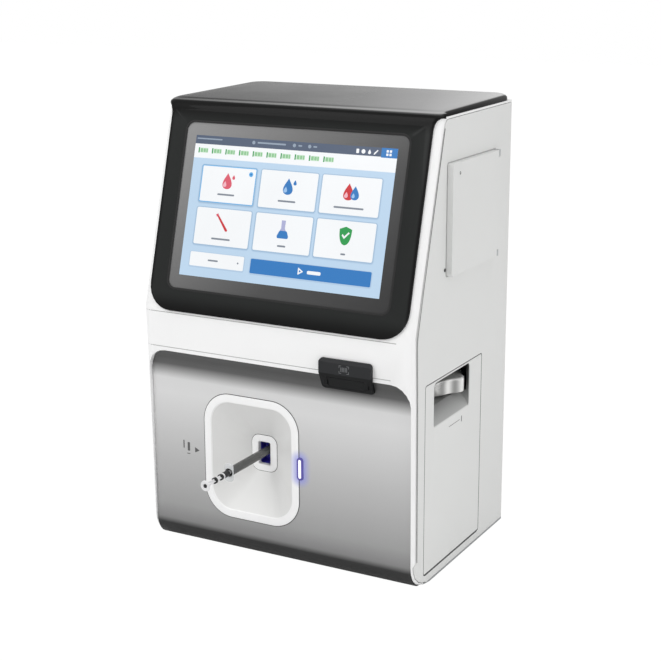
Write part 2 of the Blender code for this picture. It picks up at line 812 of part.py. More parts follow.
def fillet(before, corner, after, radius, steps):
    """The arc that rounds a corner between two straight lines."""
    corner = Vector(corner)
    first = (Vector(before) - corner).normalized()
    second = (Vector(after) - corner).normalized()
    half = first.angle(second) / 2
    reach = radius / math.tan(half)
    middle = corner + (first + second).normalized() * radius / math.sin(half)
    start = corner + first * reach - middle
    end = corner + second * reach - middle
    turn = start.angle_signed(end)
    points = []
    for step in range(steps + 1):
        angle = -turn * step / steps
        x = start.x * math.cos(angle) - start.y * math.sin(angle)
        y = start.x * math.sin(angle) + start.y * math.cos(angle)
        points.append((middle.x + x, middle.y + y))
    return points


def seam_y(height, shift=0.0):
    """World y of the slanted seam at a height."""
    run = (height - SEAM_SLOPE_HEIGHT) * math.tan(SEAM_TILT)
    return depth(SEAM_SLOPE_DEPTH) + run + shift / math.cos(SEAM_TILT)


def side_zone(grow=0.0):
    """The side panel's outline in (y, z), grown all round by grow."""
    toe_y = depth(TOE_DEPTH) + TOE_RADIUS
    radius = TOE_RADIUS - TOE_RIM + grow
    foot = PAN_LIP + FIT_GAP - grow
    waist = SEAM_SLOPE_HEIGHT - (SEAM_SLOPE_DEPTH - SEAM_WAIST_DEPTH) / math.tan(SEAM_TILT)
    points = [(BACK + OVERRUN, foot), (toe_y, foot)]
    points += arc((toe_y, TOE_RADIUS), (radius, radius), -math.pi / 2, -math.pi, TOE_STEPS)
    points.append((depth(SEAM_FOOT_DEPTH) - grow, SEAM_FOOT_HEIGHT))
    points.append((depth(SEAM_CHIN_DEPTH) - grow, SEAM_CHIN_HEIGHT))
    points.append((depth(SEAM_WAIST_DEPTH) - grow, waist))
    head = top_line(seam_y(SHELL_HEIGHT)) - TOP_STRIP + grow
    corner = (seam_y(head, -grow), head)
    end = (BACK + OVERRUN, top_line(BACK + OVERRUN) - TOP_STRIP + grow)
    points += fillet(points[-1], corner, end, SEAM_CORNER, ROUND_STEPS)
    points.append(end)
    return points


def frame_zone():
    """Where the white frame lies in (y, z): a band behind the front and one under the top."""
    waist = SEAM_SLOPE_HEIGHT - (SEAM_SLOPE_DEPTH - SEAM_WAIST_DEPTH) / math.tan(SEAM_TILT)
    under = top_line(BACK) - TOP_STRIP - FRAME_LAP
    return [
        (FRONT - OVERRUN, -OVERRUN),
        (depth(FRAME_TOE_END), -OVERRUN),
        (depth(FRAME_TOE_END), PAN_FLANGE_HEIGHT - FIT_GAP),
        (depth(SEAM_FOOT_DEPTH) + FRAME_LAP, PAN_FLANGE_HEIGHT),
        (depth(SEAM_FOOT_DEPTH) + FRAME_LAP, SEAM_FOOT_HEIGHT),
        (depth(SEAM_CHIN_DEPTH) + FRAME_LAP, SEAM_CHIN_HEIGHT),
        (depth(SEAM_WAIST_DEPTH) + FRAME_LAP, waist),
        (seam_y(under, FRAME_LAP), under),
        (BACK + OVERRUN, under),
        (BACK + OVERRUN, SHELL_HEIGHT + OVERRUN),
        (FRONT - OVERRUN, SHELL_HEIGHT + OVERRUN),
    ]


def offset_line(points, distance):
    """An open line moved sideways, to the right of its direction."""
    moved = []
    for index, point in enumerate(points):
        before = Vector(points[max(index - 1, 0)])
        after = Vector(points[min(index + 1, len(points) - 1)])
        way = (after - before).normalized()
        moved.append((point[0] - way.y * distance, point[1] + way.x * distance))
    return moved


def fascia_line():
    """The sheet's outer surface in (y, z), from under the chin to the foot."""
    top_y = depth(CHIN_FOOT_DEPTH + FASCIA_TOP_START)
    top_z = CHIN_FOOT_HEIGHT - FIT_GAP
    face = depth(FASCIA_DEPTH)
    points = []
    for step in range(BEND_STEPS + 1):
        share = step / BEND_STEPS
        sweep = math.sin(share * math.pi / 2)
        points.append((top_y + (face - top_y) * sweep, top_z + (UNDERCUT_FOOT - top_z) * share))
    foot = arc((face + ROLL_DEPTH, ROLL_HEIGHT), (ROLL_DEPTH, ROLL_HEIGHT - ROLL_END),
               math.pi, math.pi * 3 / 2, BEND_STEPS)
    return points + foot


def fascia_outline(inset):
    """The fascia's face in (x, z): square at the foot, rounded at the chin."""
    half = HALF_WIDTH - FASCIA_RIM - inset
    head = CHIN_FOOT_HEIGHT - inset
    top = rounded(-half, half, head - 3 * FASCIA_CORNER, head, FASCIA_CORNER)[:2 * ROUND_STEPS + 2]
    return top + [(-half, -OVERRUN), (half, -OVERRUN)]


def circle(centre, radius, steps=TURN_STEPS):
    return arc(centre, (radius, radius), 0, math.pi * 2 * (steps - 1) / steps, steps - 1)


def middle_rect(centre, width, height, radius, grow=0.0, steps=ROUND_STEPS):
    return rounded(centre[0] - width / 2 - grow, centre[0] + width / 2 + grow,
                   centre[1] - height / 2 - grow, centre[1] + height / 2 + grow, radius + grow, steps)


def standing_loop(outline, y):
    return [(x, y, z) for x, z in outline]


# Housing

outer_form = shell_body("outer_form", 0.0)
grown_form = shell_body("grown_form", -FIT_GAP)
wall_form = shell_body("wall_form", WALL)
lap_form = shell_body("lap_form", WALL + FIT_GAP)
frame_form = shell_body("frame_form", FRAME_WALL)


def plan_prism(name, half, front, rear, low, high, rear_round, target=None):
    top = rounded(-half, half, front, rear, rear_round)[:2 * ROUND_STEPS + 2]
    return prism(name, [top + [(-half, front), (half, front)]], "XY", low, high, target)


def make_base_pan():
    pan = box("base_pan", (-HALF_WIDTH - OVERRUN, HALF_WIDTH + OVERRUN),
              (depth(PAN_FRONT), BACK + OVERRUN), (-OVERRUN, PAN_LIP))
    boolean(pan, outer_form, "INTERSECT")
    front = depth(PAN_FRONT) + PAN_RIM_SETBACK
    rear = BACK - WALL - FIT_GAP
    rim = plan_prism("pan_rim", INNER_FACE, front, rear, PAN_LIP / 2, PAN_FLANGE_HEIGHT, LEAST_ROUND,
                     cutters)
    hollow = plan_prism("pan_hollow", INNER_FACE - PAN_SHEET, front + PAN_SHEET, rear - PAN_SHEET,
                        PAN_LIP, PAN_FLANGE_HEIGHT + OVERRUN, LEAST_ROUND, cutters)
    join(pan, rim)
    cut(pan, hollow)
    for name, x, y in foot_places():
        cut(pan, rod("hole_" + name, "Z", (x, y), FOOT_STEM + FIT_GAP, (-OVERRUN, OVERRUN), cutters))
    for index in range(PAN_SLOTS):
        x = (index - (PAN_SLOTS - 1) / 2) * PAN_SLOT_PITCH
        slot = middle_rect((x, 0), PAN_SLOT_WIDTH, PAN_SLOT_LENGTH, PAN_SLOT_WIDTH / 3, 0, 1)
        cut(pan, prism("pan_slot", [slot], "XY", -OVERRUN, OVERRUN, cutters))
    finish(pan, (0.62, 0.63, 0.64), 0.45, 0.6)


def foot_places():
    places = []
    for row, y in (("front", depth(FOOT_INSET_FRONT)), ("rear", BACK - FOOT_INSET_REAR)):
        for side, sign in (("left", -1), ("right", 1)):
            places.append((f"foot_{row}_{side}", sign * (HALF_WIDTH - FOOT_INSET_X), y))
    return places


def make_feet():
    for name, x, y in foot_places():
        profile = [(0, FOOT_STEM_LENGTH), (FOOT_STEM, FOOT_STEM_LENGTH), (FOOT_STEM, -FIT_GAP),
                   (FOOT_RADIUS, -FIT_GAP), (FOOT_RADIUS - FOOT_TAPER, -FOOT_HEIGHT),
                   (0, -FOOT_HEIGHT)]
        finish(turned(name, profile, "Z", (x, y, 0)), (0.05, 0.05, 0.05), 0.9)


def make_front_frame():
    frame = prism("front_frame", [frame_zone()], "YZ", -HALF_WIDTH - OVERRUN, HALF_WIDTH + OVERRUN)
    boolean(frame, outer_form, "INTERSECT")
    skin = prism("skin_cutter", [side_zone(PANEL_SEAM)], "YZ",
                 -HALF_WIDTH - OVERRUN, HALF_WIDTH + OVERRUN, cutters)
    cut(skin, lap_form)
    reach = HALF_WIDTH + OVERRUN
    back_line = offset_line(fascia_line(), FASCIA_SHEET + FIT_GAP)
    behind = back_line[-1][0] + OVERRUN / 2
    sheet_room = prism("sheet_room", [back_line + [(behind, back_line[-1][1]), (behind, -OVERRUN),
                       (FRONT - OVERRUN, -OVERRUN), (FRONT - OVERRUN, back_line[0][1])]],
                       "YZ", -reach, reach, cutters)
    face = prism("face_outline", [fascia_outline(0.0)], "XZ", FRONT - 2 * OVERRUN, FRONT + 2 * OVERRUN,
                 cutters)
    boolean(sheet_room, face, "INTERSECT")
    window_half = HALF_WIDTH - WINDOW_SIDE
    window = box("front_window", (-window_half, window_half), (FRONT - OVERRUN, FRONT + OVERRUN),
                 (WINDOW_FOOT, WINDOW_HEAD), cutters)
    opening = prism("screen_opening",
                    [rounded(-BEZEL_HALF + HOOD_INNER_EDGE - FIT_GAP, BEZEL_HALF - HOOD_INNER_EDGE + FIT_GAP,
                             BEZEL_FOOT + HOOD_INNER_EDGE - FIT_GAP, hood_inner_head() + FIT_GAP,
                             BEZEL_CORNER - HOOD_INNER_EDGE)],
                    "SCREEN", -OVERRUN, OVERRUN / 2, cutters)
    top = box("top_opening", (-HALF_WIDTH + TOP_OPENING_SIDE, HALF_WIDTH - TOP_OPENING_SIDE),
              (depth(TOP_OPENING_FRONT), BACK - TOP_OPENING_REAR),
              (SHELL_HEIGHT - FRAME_WALL - OVERRUN, SHELL_HEIGHT + OVERRUN), cutters)
    cut(frame, frame_form, skin, sheet_room, window, opening, top, pod_hole())
    finish(frame, (0.90, 0.90, 0.90), 0.35)


def hood_inner_head():
    return (SHELL_HEIGHT - FRAME_WALL - SCREEN_FOOT_HEIGHT) / math.cos(SCREEN_TILT)


def pod_hole():
    return box("pod_hole", (POD_LEFT + POD_NECK_INSET - FIT_GAP, POD_RIGHT - POD_NECK_INSET + FIT_GAP),
               (FRONT - OVERRUN, FRONT + OVERRUN),
               (POD_NECK_FOOT - FIT_GAP, POD_NECK_TOP + FIT_GAP), cutters)


def make_side_panel(name, sign):
    near = sorted((sign * (HALF_WIDTH - REAR_WRAP), sign * (HALF_WIDTH + OVERRUN)))
    panel = prism(name, [side_zone()], "YZ", near[0], near[1])
    boolean(panel, outer_form, "INTERSECT")
    cut(panel, wall_form, bpy.data.objects["sheet_room"])
    if sign > 0:
        door = prism("door_opening", [rounded(depth(DOOR_FRONT) - PANEL_SEAM, depth(DOOR_REAR) + PANEL_SEAM,
                     DOOR_FOOT - DOOR_GAP_FOOT, DOOR_HEAD + PANEL_SEAM, DOOR_CORNER, CORNER_STEPS)],
                     "YZ", INNER_FACE - OVERRUN, HALF_WIDTH + OVERRUN, cutters)
        bay = prism("service_opening", [service_outline(0.0)], "YZ",
                    INNER_FACE - WALL, HALF_WIDTH + OVERRUN / 2, cutters)
        leaf_seat = box("leaf_seat", (HALF_WIDTH - LEAF_SHEET - FIT_GAP, HALF_WIDTH + OVERRUN),
                        (depth(COVER_REAR) - LEAF_WIDTH - FIT_GAP, depth(COVER_REAR) + FIT_GAP),
                        (COVER_FOOT - FIT_GAP, COVER_HEAD + FIT_GAP), cutters)
        cut(panel, door, bay, leaf_seat)
    finish(panel, (0.83, 0.83, 0.81), 0.4)


def make_rear_panel():
    half = HALF_WIDTH - REAR_WRAP - PANEL_SEAM
    head = top_line(BACK) - TOP_STRIP
    panel = box("rear_panel", (-half, half), (BACK - WALL, BACK), (PAN_LIP + FIT_GAP, head))
    for x, z in stud_places():
        join(panel, rod("stud", "Y", (x, z), BOARD_STUD_RADIUS,
                        (BACK - WALL - BOARD_STANDOFF + FIT_GAP, BACK - WALL / 2), cutters, PIN_STEPS))
    for row in range(VENT_SLOTS):
        foot = VENT_Z + row * VENT_PITCH
        cut(panel, box("vent", (VENT_X - VENT_WIDTH / 2, VENT_X + VENT_WIDTH / 2),
                       (BACK - WALL - OVERRUN, BACK + OVERRUN), (foot, foot + VENT_HEIGHT), cutters))
    ring_step = FAN_BORE / (GRILLE_RINGS + 1 / 2)
    for ring in range(GRILLE_RINGS):
        outer = FAN_BORE - ring * ring_step
        inner = outer - ring_step + GRILLE_RING_WIDTH
        gap = prism("grille_gap", [circle((FAN_X, FAN_Z), outer, GRILLE_STEPS),
                    circle((FAN_X, FAN_Z), inner, GRILLE_STEPS)],
                    "XZ", BACK - WALL - FIT_GAP, BACK + OVERRUN, cutters)
        for turn in (math.pi / 4, -math.pi / 4):
            spoke = box("grille_spoke", (-FAN_SIDE, FAN_SIDE), (-OVERRUN * 2, OVERRUN * 2),
                        (-GRILLE_SPOKE / 2, GRILLE_SPOKE / 2), cutters)
            spoke.location = (FAN_X, BACK, FAN_Z)
            spoke.rotation_euler = (0, turn, 0)
            cut(gap, spoke)
        cut(panel, gap)
    cut(panel, box("power_hole", (POWER_X - POWER_WIDTH / 2 - FIT_GAP, POWER_X + POWER_WIDTH / 2 + FIT_GAP),
                   (BACK - OVERRUN, BACK + OVERRUN),
                   (POWER_Z - POWER_HEIGHT / 2 - FIT_GAP, POWER_Z + POWER_HEIGHT / 2 + FIT_GAP), cutters))
    cut(panel, box("io_hole", (IO_X - IO_WIDTH / 2 - FIT_GAP, IO_X + IO_WIDTH / 2 + FIT_GAP),
                   (BACK - WALL - FIT_GAP, BACK + OVERRUN),
                   (IO_Z - IO_HEIGHT / 2 - FIT_GAP, IO_Z + IO_HEIGHT / 2 + FIT_GAP), cutters))
    finish(panel, (0.80, 0.80, 0.79), 0.45)


def make_hood():
    hood = hood_body("screen_hood", WAIST_HEIGHT - HOOD_TAIL)
    cut(hood, grown_form)
    edge = OVERRUN
    wide = HALF_WIDTH + edge
    bezel = arc((HALF_WIDTH, FLARE_START), (HALF_WIDTH - BEZEL_HALF, FLARE_END - FLARE_START),
                math.pi / 2, math.pi, FLARE_STEPS)
    corner = arc((BEZEL_HALF - BEZEL_CORNER, BEZEL_FOOT + BEZEL_CORNER), (BEZEL_CORNER, BEZEL_CORNER),
                 0, -math.pi / 2, ROUND_STEPS + 2)
    right = bezel + corner
    left = [(-x, s) for x, s in reversed(right)]
    surround = right + left + [(-wide, FLARE_END), (-wide, BEZEL_FOOT - edge),
                               (wide, BEZEL_FOOT - edge), (wide, FLARE_END)]
    trim = prism("bezel_trim", [surround], "SCREEN", -BEZEL_PROUD - FIT_GAP, edge, cutters)
    cheek_trim = prism("cheek_trim", [surround], "SCREEN", -BEZEL_PROUD - 2 * CHEEK_ROUND, edge, cutters)
    boolean(cheek_trim, box("below_plate", (-wide - edge, wide + edge), (FRONT - edge, BACK),
                            (0, SHELL_HEIGHT + FIT_GAP), cutters), "INTERSECT")
    cut(hood, trim, cheek_trim)
    inner_half = BEZEL_HALF - HOOD_INNER_EDGE
    inner = prism("hood_inner", [rounded(-inner_half, inner_half, BEZEL_FOOT + HOOD_INNER_EDGE,
                  hood_inner_head(), BEZEL_CORNER - HOOD_INNER_EDGE)],
                  "SCREEN", -HOOD_INNER, -BEZEL_PROUD / 2, cutters)
    join(hood, inner)
    glass_half = GLASS_WIDTH / 2
    seat = prism("glass_seat", [rounded(-glass_half, glass_half, GLASS_FOOT, GLASS_HEAD, GLASS_CORNER)],
                 "SCREEN", -GLASS_RECESS - GLASS_THICKNESS - FIT_GAP, edge, cutters)
    ledge = prism("glass_ledge", [lcd_outline(FIT_GAP)], "SCREEN", -edge, edge, cutters)
    under = box("hood_underside", (-HALF_WIDTH + TOP_OPENING_SIDE, HALF_WIDTH - TOP_OPENING_SIDE),
                (depth(TOP_OPENING_FRONT), BACK - TOP_OPENING_REAR),
                (SHELL_HEIGHT - edge, TOP_CREST_HEIGHT - HOOD_WALL), cutters)
    cut(hood, seat, ledge, under)
    finish(hood, (0.045, 0.047, 0.047), 0.3)


def lcd_outline(grow):
    half = LCD_WIDTH / 2 + LCD_BORDER + grow
    return rounded(-half, half, -LCD_BORDER - grow, LCD_HEIGHT + LCD_BORDER + grow, LEAST_ROUND, SMALL_STEPS)


def make_display():
    half = GLASS_WIDTH / 2 - FIT_GAP
    glass = prism("touch_glass", [rounded(-half, half, GLASS_FOOT + FIT_GAP, GLASS_HEAD - FIT_GAP,
                  GLASS_CORNER - FIT_GAP)], "SCREEN", -GLASS_RECESS - GLASS_THICKNESS, -GLASS_RECESS)
    finish(glass, (0.30, 0.31, 0.31), 0.08)
    front = -GLASS_RECESS - GLASS_THICKNESS - FIT_GAP
    lcd = prism("lcd_module", [lcd_outline(0.0)], "SCREEN", front - LCD_THICKNESS, front)
    back = prism("lcd_back", [rounded(-LCD_WIDTH / 2, LCD_WIDTH / 2, 0, LCD_HEIGHT, LEAST_ROUND,
                 SMALL_STEPS)], "SCREEN", -BEZEL_PROUD - FRAME_WALL, front - LCD_THICKNESS / 2, cutters)
    join(lcd, back)
    finish(lcd, (0.35, 0.36, 0.37), 0.4, 0.5)
    near = -BEZEL_PROUD - FRAME_WALL - FIT_GAP
    bracket = prism("display_bracket", [rounded(-BRACKET_HALF, BRACKET_HALF, BRACKET_FOOT, BRACKET_HEAD,
                    LEAST_ROUND, SMALL_STEPS)], "SCREEN", near - BRACKET_SHEET, near)
    for side in (-1, 1):
        edge = side * (BRACKET_HALF - BRACKET_SHEET / 2)
        join(bracket, prism("bracket_flange", [rounded(edge - BRACKET_SHEET / 2, edge + BRACKET_SHEET / 2,
             BRACKET_FOOT + BRACKET_FLANGE, BRACKET_HEAD - BRACKET_FLANGE, BRACKET_SHEET / 4, 1)],
             "SCREEN", near - BRACKET_SHEET - BRACKET_FLANGE, near - BRACKET_SHEET / 2, cutters))
    middle = (BRACKET_FOOT + BRACKET_HEAD) / 2
    for row in (-1, 0, 1):
        up = middle + row * BRACKET_SLOT_PITCH
        cut(bracket, prism("bracket_slot", [middle_rect((0, up), BRACKET_SLOT_LENGTH, BRACKET_SLOT_HEIGHT,
            BRACKET_SLOT_HEIGHT / 3, 0, CORNER_STEPS)], "SCREEN", near - OVERRUN, near + OVERRUN, cutters))
    finish(bracket, (0.70, 0.71, 0.72), 0.4, 0.8)


def make_fascia():
    line = fascia_line()
    half = HALF_WIDTH - FASCIA_RIM
    ribbon = line + list(reversed(offset_line(line, FASCIA_SHEET)))
    fascia = prism("fascia", [ribbon], "YZ", -half - FIT_GAP, half + FIT_GAP)
    face = prism("sheet_outline", [fascia_outline(FIT_GAP)], "XZ", FRONT - OVERRUN, FRONT + 2 * OVERRUN,
                 cutters)
    boolean(fascia, face, "INTERSECT")
    port = prism("port_hole", [middle_rect((PORT_X, PORT_Z), PORT_WIDTH, PORT_HEIGHT, PORT_CORNER,
                 PANEL_SEAM)], "XZ", FRONT - OVERRUN, FRONT + OVERRUN, cutters)
    cut(fascia, port, bpy.data.objects["pod_hole"], light_hole())
    finish(fascia, (0.62, 0.62, 0.62), 0.32, 0.85)


def light_outline(grow):
    return middle_rect((LIGHT_X, LIGHT_Z), LIGHT_WIDTH, LIGHT_HEIGHT, LIGHT_WIDTH / 2 - FIT_GAP, grow, 4)


def light_hole():
    return prism("light_hole", [light_outline(FIT_GAP)], "XZ", FRONT - OVERRUN, FRONT + OVERRUN, cutters)


# Sample port and syringe

def port_loop(inset, y):
    outline = middle_rect((PORT_X, PORT_Z), PORT_WIDTH, PORT_HEIGHT, PORT_CORNER, -inset,
                          PORT_CORNER_STEPS)
    return standing_loop(outline, depth(y))


def insert_loop(grow, y):
    outline = middle_rect((INSERT_X, PORT_Z), INSERT_WIDTH, INSERT_HEIGHT, INSERT_CORNER, grow,
                          PORT_CORNER_STEPS)
    return standing_loop(outline, depth(y))


def mouth_loop(grow, y):
    outline = middle_rect((INSERT_X, PORT_Z), MOUTH_WIDTH, MOUTH_HEIGHT, MOUTH_CORNER, grow,
                          PORT_CORNER_STEPS)
    return standing_loop(outline, depth(y))


def make_port():
    lip_front = FASCIA_DEPTH + FASCIA_SHEET + FIT_GAP
    lip_back = lip_front + PORT_LIP_THICKNESS
    shoulder = PORT_RIM_SIDE + PORT_EDGE
    loops = [
        port_loop(-PORT_LIP, lip_back),
        port_loop(-PORT_LIP, lip_front),
        port_loop(0, lip_front),
        port_loop(0, PORT_RIM_DEPTH + PORT_EDGE),
        port_loop(PORT_EDGE, PORT_RIM_DEPTH),
        port_loop(PORT_RIM_SIDE, PORT_RIM_DEPTH),
        port_loop(shoulder, PORT_RIM_DEPTH + PORT_EDGE),
        insert_loop(FIT_GAP, DISH_DEPTH),
        insert_loop(FIT_GAP, DISH_DEPTH + PORT_WALL),
        port_loop(shoulder - PORT_WALL, lip_back),
    ]
    panel = loft("port_panel", loops, ring=True)
    cut(panel, bpy.data.objects["light_hole"])
    finish(panel, (0.90, 0.90, 0.89), 0.35)
    front = DISH_DEPTH - INSERT_PROUD
    back = front + INSERT_DEPTH
    insert = loft("port_insert", [
        insert_loop(0, back),
        insert_loop(0, front + PORT_EDGE),
        insert_loop(-PORT_EDGE, front),
        mouth_loop(PORT_EDGE, front),
        mouth_loop(0, front + PORT_EDGE),
        mouth_loop(0, back),
    ], ring=True)
    finish(insert, (0.92, 0.92, 0.92), 0.3)
    near = depth(back + FIT_GAP)
    block = box("inlet_block", (INSERT_X - INLET_WIDTH / 2, INSERT_X + INLET_WIDTH / 2),
                (near, depth(PROBE_FRONT - FIT_GAP)),
                (PORT_Z - INLET_HEIGHT / 2, PORT_Z + INLET_HEIGHT / 2))
    pocket = box("inlet_pocket", (INSERT_X - MOUTH_WIDTH / 2, INSERT_X + MOUTH_WIDTH / 2),
                 (near - OVERRUN, near + INLET_POCKET),
                 (PORT_Z - MOUTH_HEIGHT / 2, PORT_Z + MOUTH_HEIGHT / 2), cutters)
    axis = (SYRINGE_X, SYRINGE_Z)
    seal_end = near + INLET_POCKET + INLET_SEAL_LENGTH + FIT_GAP
    seat = rod("seal_seat", "Y", axis, INLET_SEAL_RADIUS + FIT_GAP, (near, seal_end), cutters)
    way = rod("needle_way", "Y", axis, NEEDLE_BORE, (near, depth(PROBE_FRONT) + OVERRUN), cutters)
    cut(block, pocket, seat, way)
    finish(block, (0.06, 0.06, 0.30), 0.35)
    seal_bore = LUER_RADIUS + SYRINGE_CLEARANCE
    seal = turned("inlet_seal", [(INLET_SEAL_RADIUS, INLET_SEAL_LENGTH), (INLET_SEAL_RADIUS, 0),
                  (seal_bore, 0), (seal_bore, INLET_SEAL_LENGTH)], "Y",
                  (SYRINGE_X, near + INLET_POCKET, SYRINGE_Z))
    finish(seal, (0.10, 0.10, 0.12), 0.8)
    light = prism("status_light", [light_outline(0.0)], "XZ", depth(LIGHT_FRONT),
                  depth(LIGHT_FRONT + LIGHT_LENGTH))
    finish(light, (0.75, 0.75, 1.0), 0.3)


def make_syringe():
    centre = (SYRINGE_X, 0, SYRINGE_Z)
    front = depth(BARREL_FRONT)
    rear = depth(BARREL_REAR)
    wall = BARREL_RADIUS - BARREL_BORE
    barrel = turned("syringe_barrel", [
        (LUER_RADIUS, front + LUER_LENGTH), (LUER_RADIUS, front), (BARREL_RADIUS, front),
        (BARREL_RADIUS, rear), (BARREL_BORE, rear), (BARREL_BORE, front - wall),
        (LUER_BORE, front - wall), (LUER_BORE, front + LUER_LENGTH),
    ], "Y", centre)
    axis = (SYRINGE_X, SYRINGE_Z)
    flange = prism("barrel_flange", [middle_rect(axis, FLANGE_WIDTH, FLANGE_HEIGHT, FLANGE_WIDTH / 3),
                   circle(axis, (BARREL_RADIUS + BARREL_BORE) / 2)], "XZ",
                   rear + wall / 4, rear + FLANGE_THICKNESS, cutters)
    join(barrel, flange)
    finish(barrel, (0.80, 0.82, 0.84), 0.15)
    nose = depth(PLUNGER_SEAL_FRONT)
    radius = BARREL_BORE - SYRINGE_CLEARANCE
    seal = turned("plunger_seal", [(0, nose), (radius * 2 / 3, nose), (radius, nose - radius / 3),
                  (radius, nose - PLUNGER_SEAL_LENGTH), (0, nose - PLUNGER_SEAL_LENGTH)], "Y", centre)
    finish(seal, (0.03, 0.03, 0.03), 0.6)
    start = nose - PLUNGER_SEAL_LENGTH - FIT_GAP
    profile = [(0, start), (PLUNGER_RADIUS, start)]
    for ring in PLUNGER_RING_DEPTHS:
        for height in (ring, ring - PLUNGER_RING_LENGTH):
            step = [(PLUNGER_RADIUS, depth(height)), (PLUNGER_RING_RADIUS, depth(height))]
            profile += step if height == ring else list(reversed(step))
    end = depth(PLUNGER_END)
    profile += [(PLUNGER_RADIUS, end + THUMB_THICKNESS), (THUMB_RADIUS, end + THUMB_THICKNESS),
                (THUMB_RADIUS, end), (0, end)]
    plunger = turned("plunger_rod", profile, "Y", centre)
    finish(plunger, (0.75, 0.77, 0.80), 0.2)
    hold = carry("syringe_axis", (SYRINGE_X, rear, SYRINGE_Z), barrel)
    push = carry("plunger_axis", (SYRINGE_X, end, SYRINGE_Z), plunger, seal)
    push.parent = hold
    push.matrix_parent_inverse = hold.matrix_world.inverted()


# Barcode reader

def chin_y(height):
    share = (height - CHIN_FOOT_HEIGHT) / (WAIST_HEIGHT - CHIN_FOOT_HEIGHT)
    waist = bezel_y(WAIST_HEIGHT, BEZEL_PROUD)
    return depth(CHIN_FOOT_DEPTH) + share * (waist - depth(CHIN_FOOT_DEPTH))


def make_pod():
    back = chin_y(POD_TOP) - FIT_GAP
    nose = depth(POD_FRONT)
    line = [point for point in fascia_line()[:BEND_STEPS + 1] if point[1] > POD_FOOT]
    skin = [(y - POD_CHIN_GAP, z) for y, z in reversed(line[1:])]
    foot_back = (skin[0][0], POD_FOOT)
    profile = [(back, POD_TOP), (nose + POD_ROUND, POD_TOP), (nose, POD_TOP - POD_ROUND),
               (nose, POD_EDGE), (depth(POD_FOOT_DEPTH), POD_FOOT), foot_back] + skin
    profile.append((chin_y(CHIN_FOOT_HEIGHT) - FIT_GAP, CHIN_FOOT_HEIGHT - 2 * FIT_GAP))
    pod = prism("scanner_pod", [profile], "YZ", POD_LEFT, POD_RIGHT)
    face = prism("pod_outline", [rounded(POD_LEFT, POD_RIGHT, POD_FOOT, POD_TOP, POD_ROUND,
                 CORNER_STEPS)], "XZ", FRONT - OVERRUN, FRONT + OVERRUN, cutters)
    boolean(pod, face, "INTERSECT")
    neck = box("pod_neck", (POD_LEFT + POD_NECK_INSET, POD_RIGHT - POD_NECK_INSET),
               (back - POD_ROUND / 2, depth(POD_BACK)), (POD_NECK_FOOT, POD_NECK_TOP), cutters)
    join(pod, neck)
    top = Vector((nose, POD_EDGE))
    run = Vector((depth(POD_FOOT_DEPTH), POD_FOOT)) - top
    first = top + run * POD_WINDOW_START_SHARE
    last = top + run * POD_WINDOW_END_SHARE
    inward = Vector((-run.y, run.x)).normalized()
    pane = [first, last, last + inward * POD_WINDOW_THICKNESS, first + inward * POD_WINDOW_THICKNESS]
    grow = run.normalized() * FIT_GAP
    room = [first - grow - inward * OVERRUN, last + grow - inward * OVERRUN,
            last + grow + inward * (POD_WINDOW_THICKNESS + FIT_GAP),
            first - grow + inward * (POD_WINDOW_THICKNESS + FIT_GAP)]
    ends = (POD_LEFT + POD_WINDOW_INSET, POD_RIGHT - POD_WINDOW_INSET)
    seat = prism("pane_seat", [[tuple(p) for p in room]], "YZ", ends[0] - FIT_GAP, ends[1] + FIT_GAP,
                 cutters)
    cut(pod, seat)
    finish(pod, (0.05, 0.05, 0.055), 0.35)
    window = prism("scanner_window", [[tuple(p) for p in pane]], "YZ", ends[0], ends[1])
    finish(window, (0.02, 0.01, 0.01), 0.05)


# Sampling probe

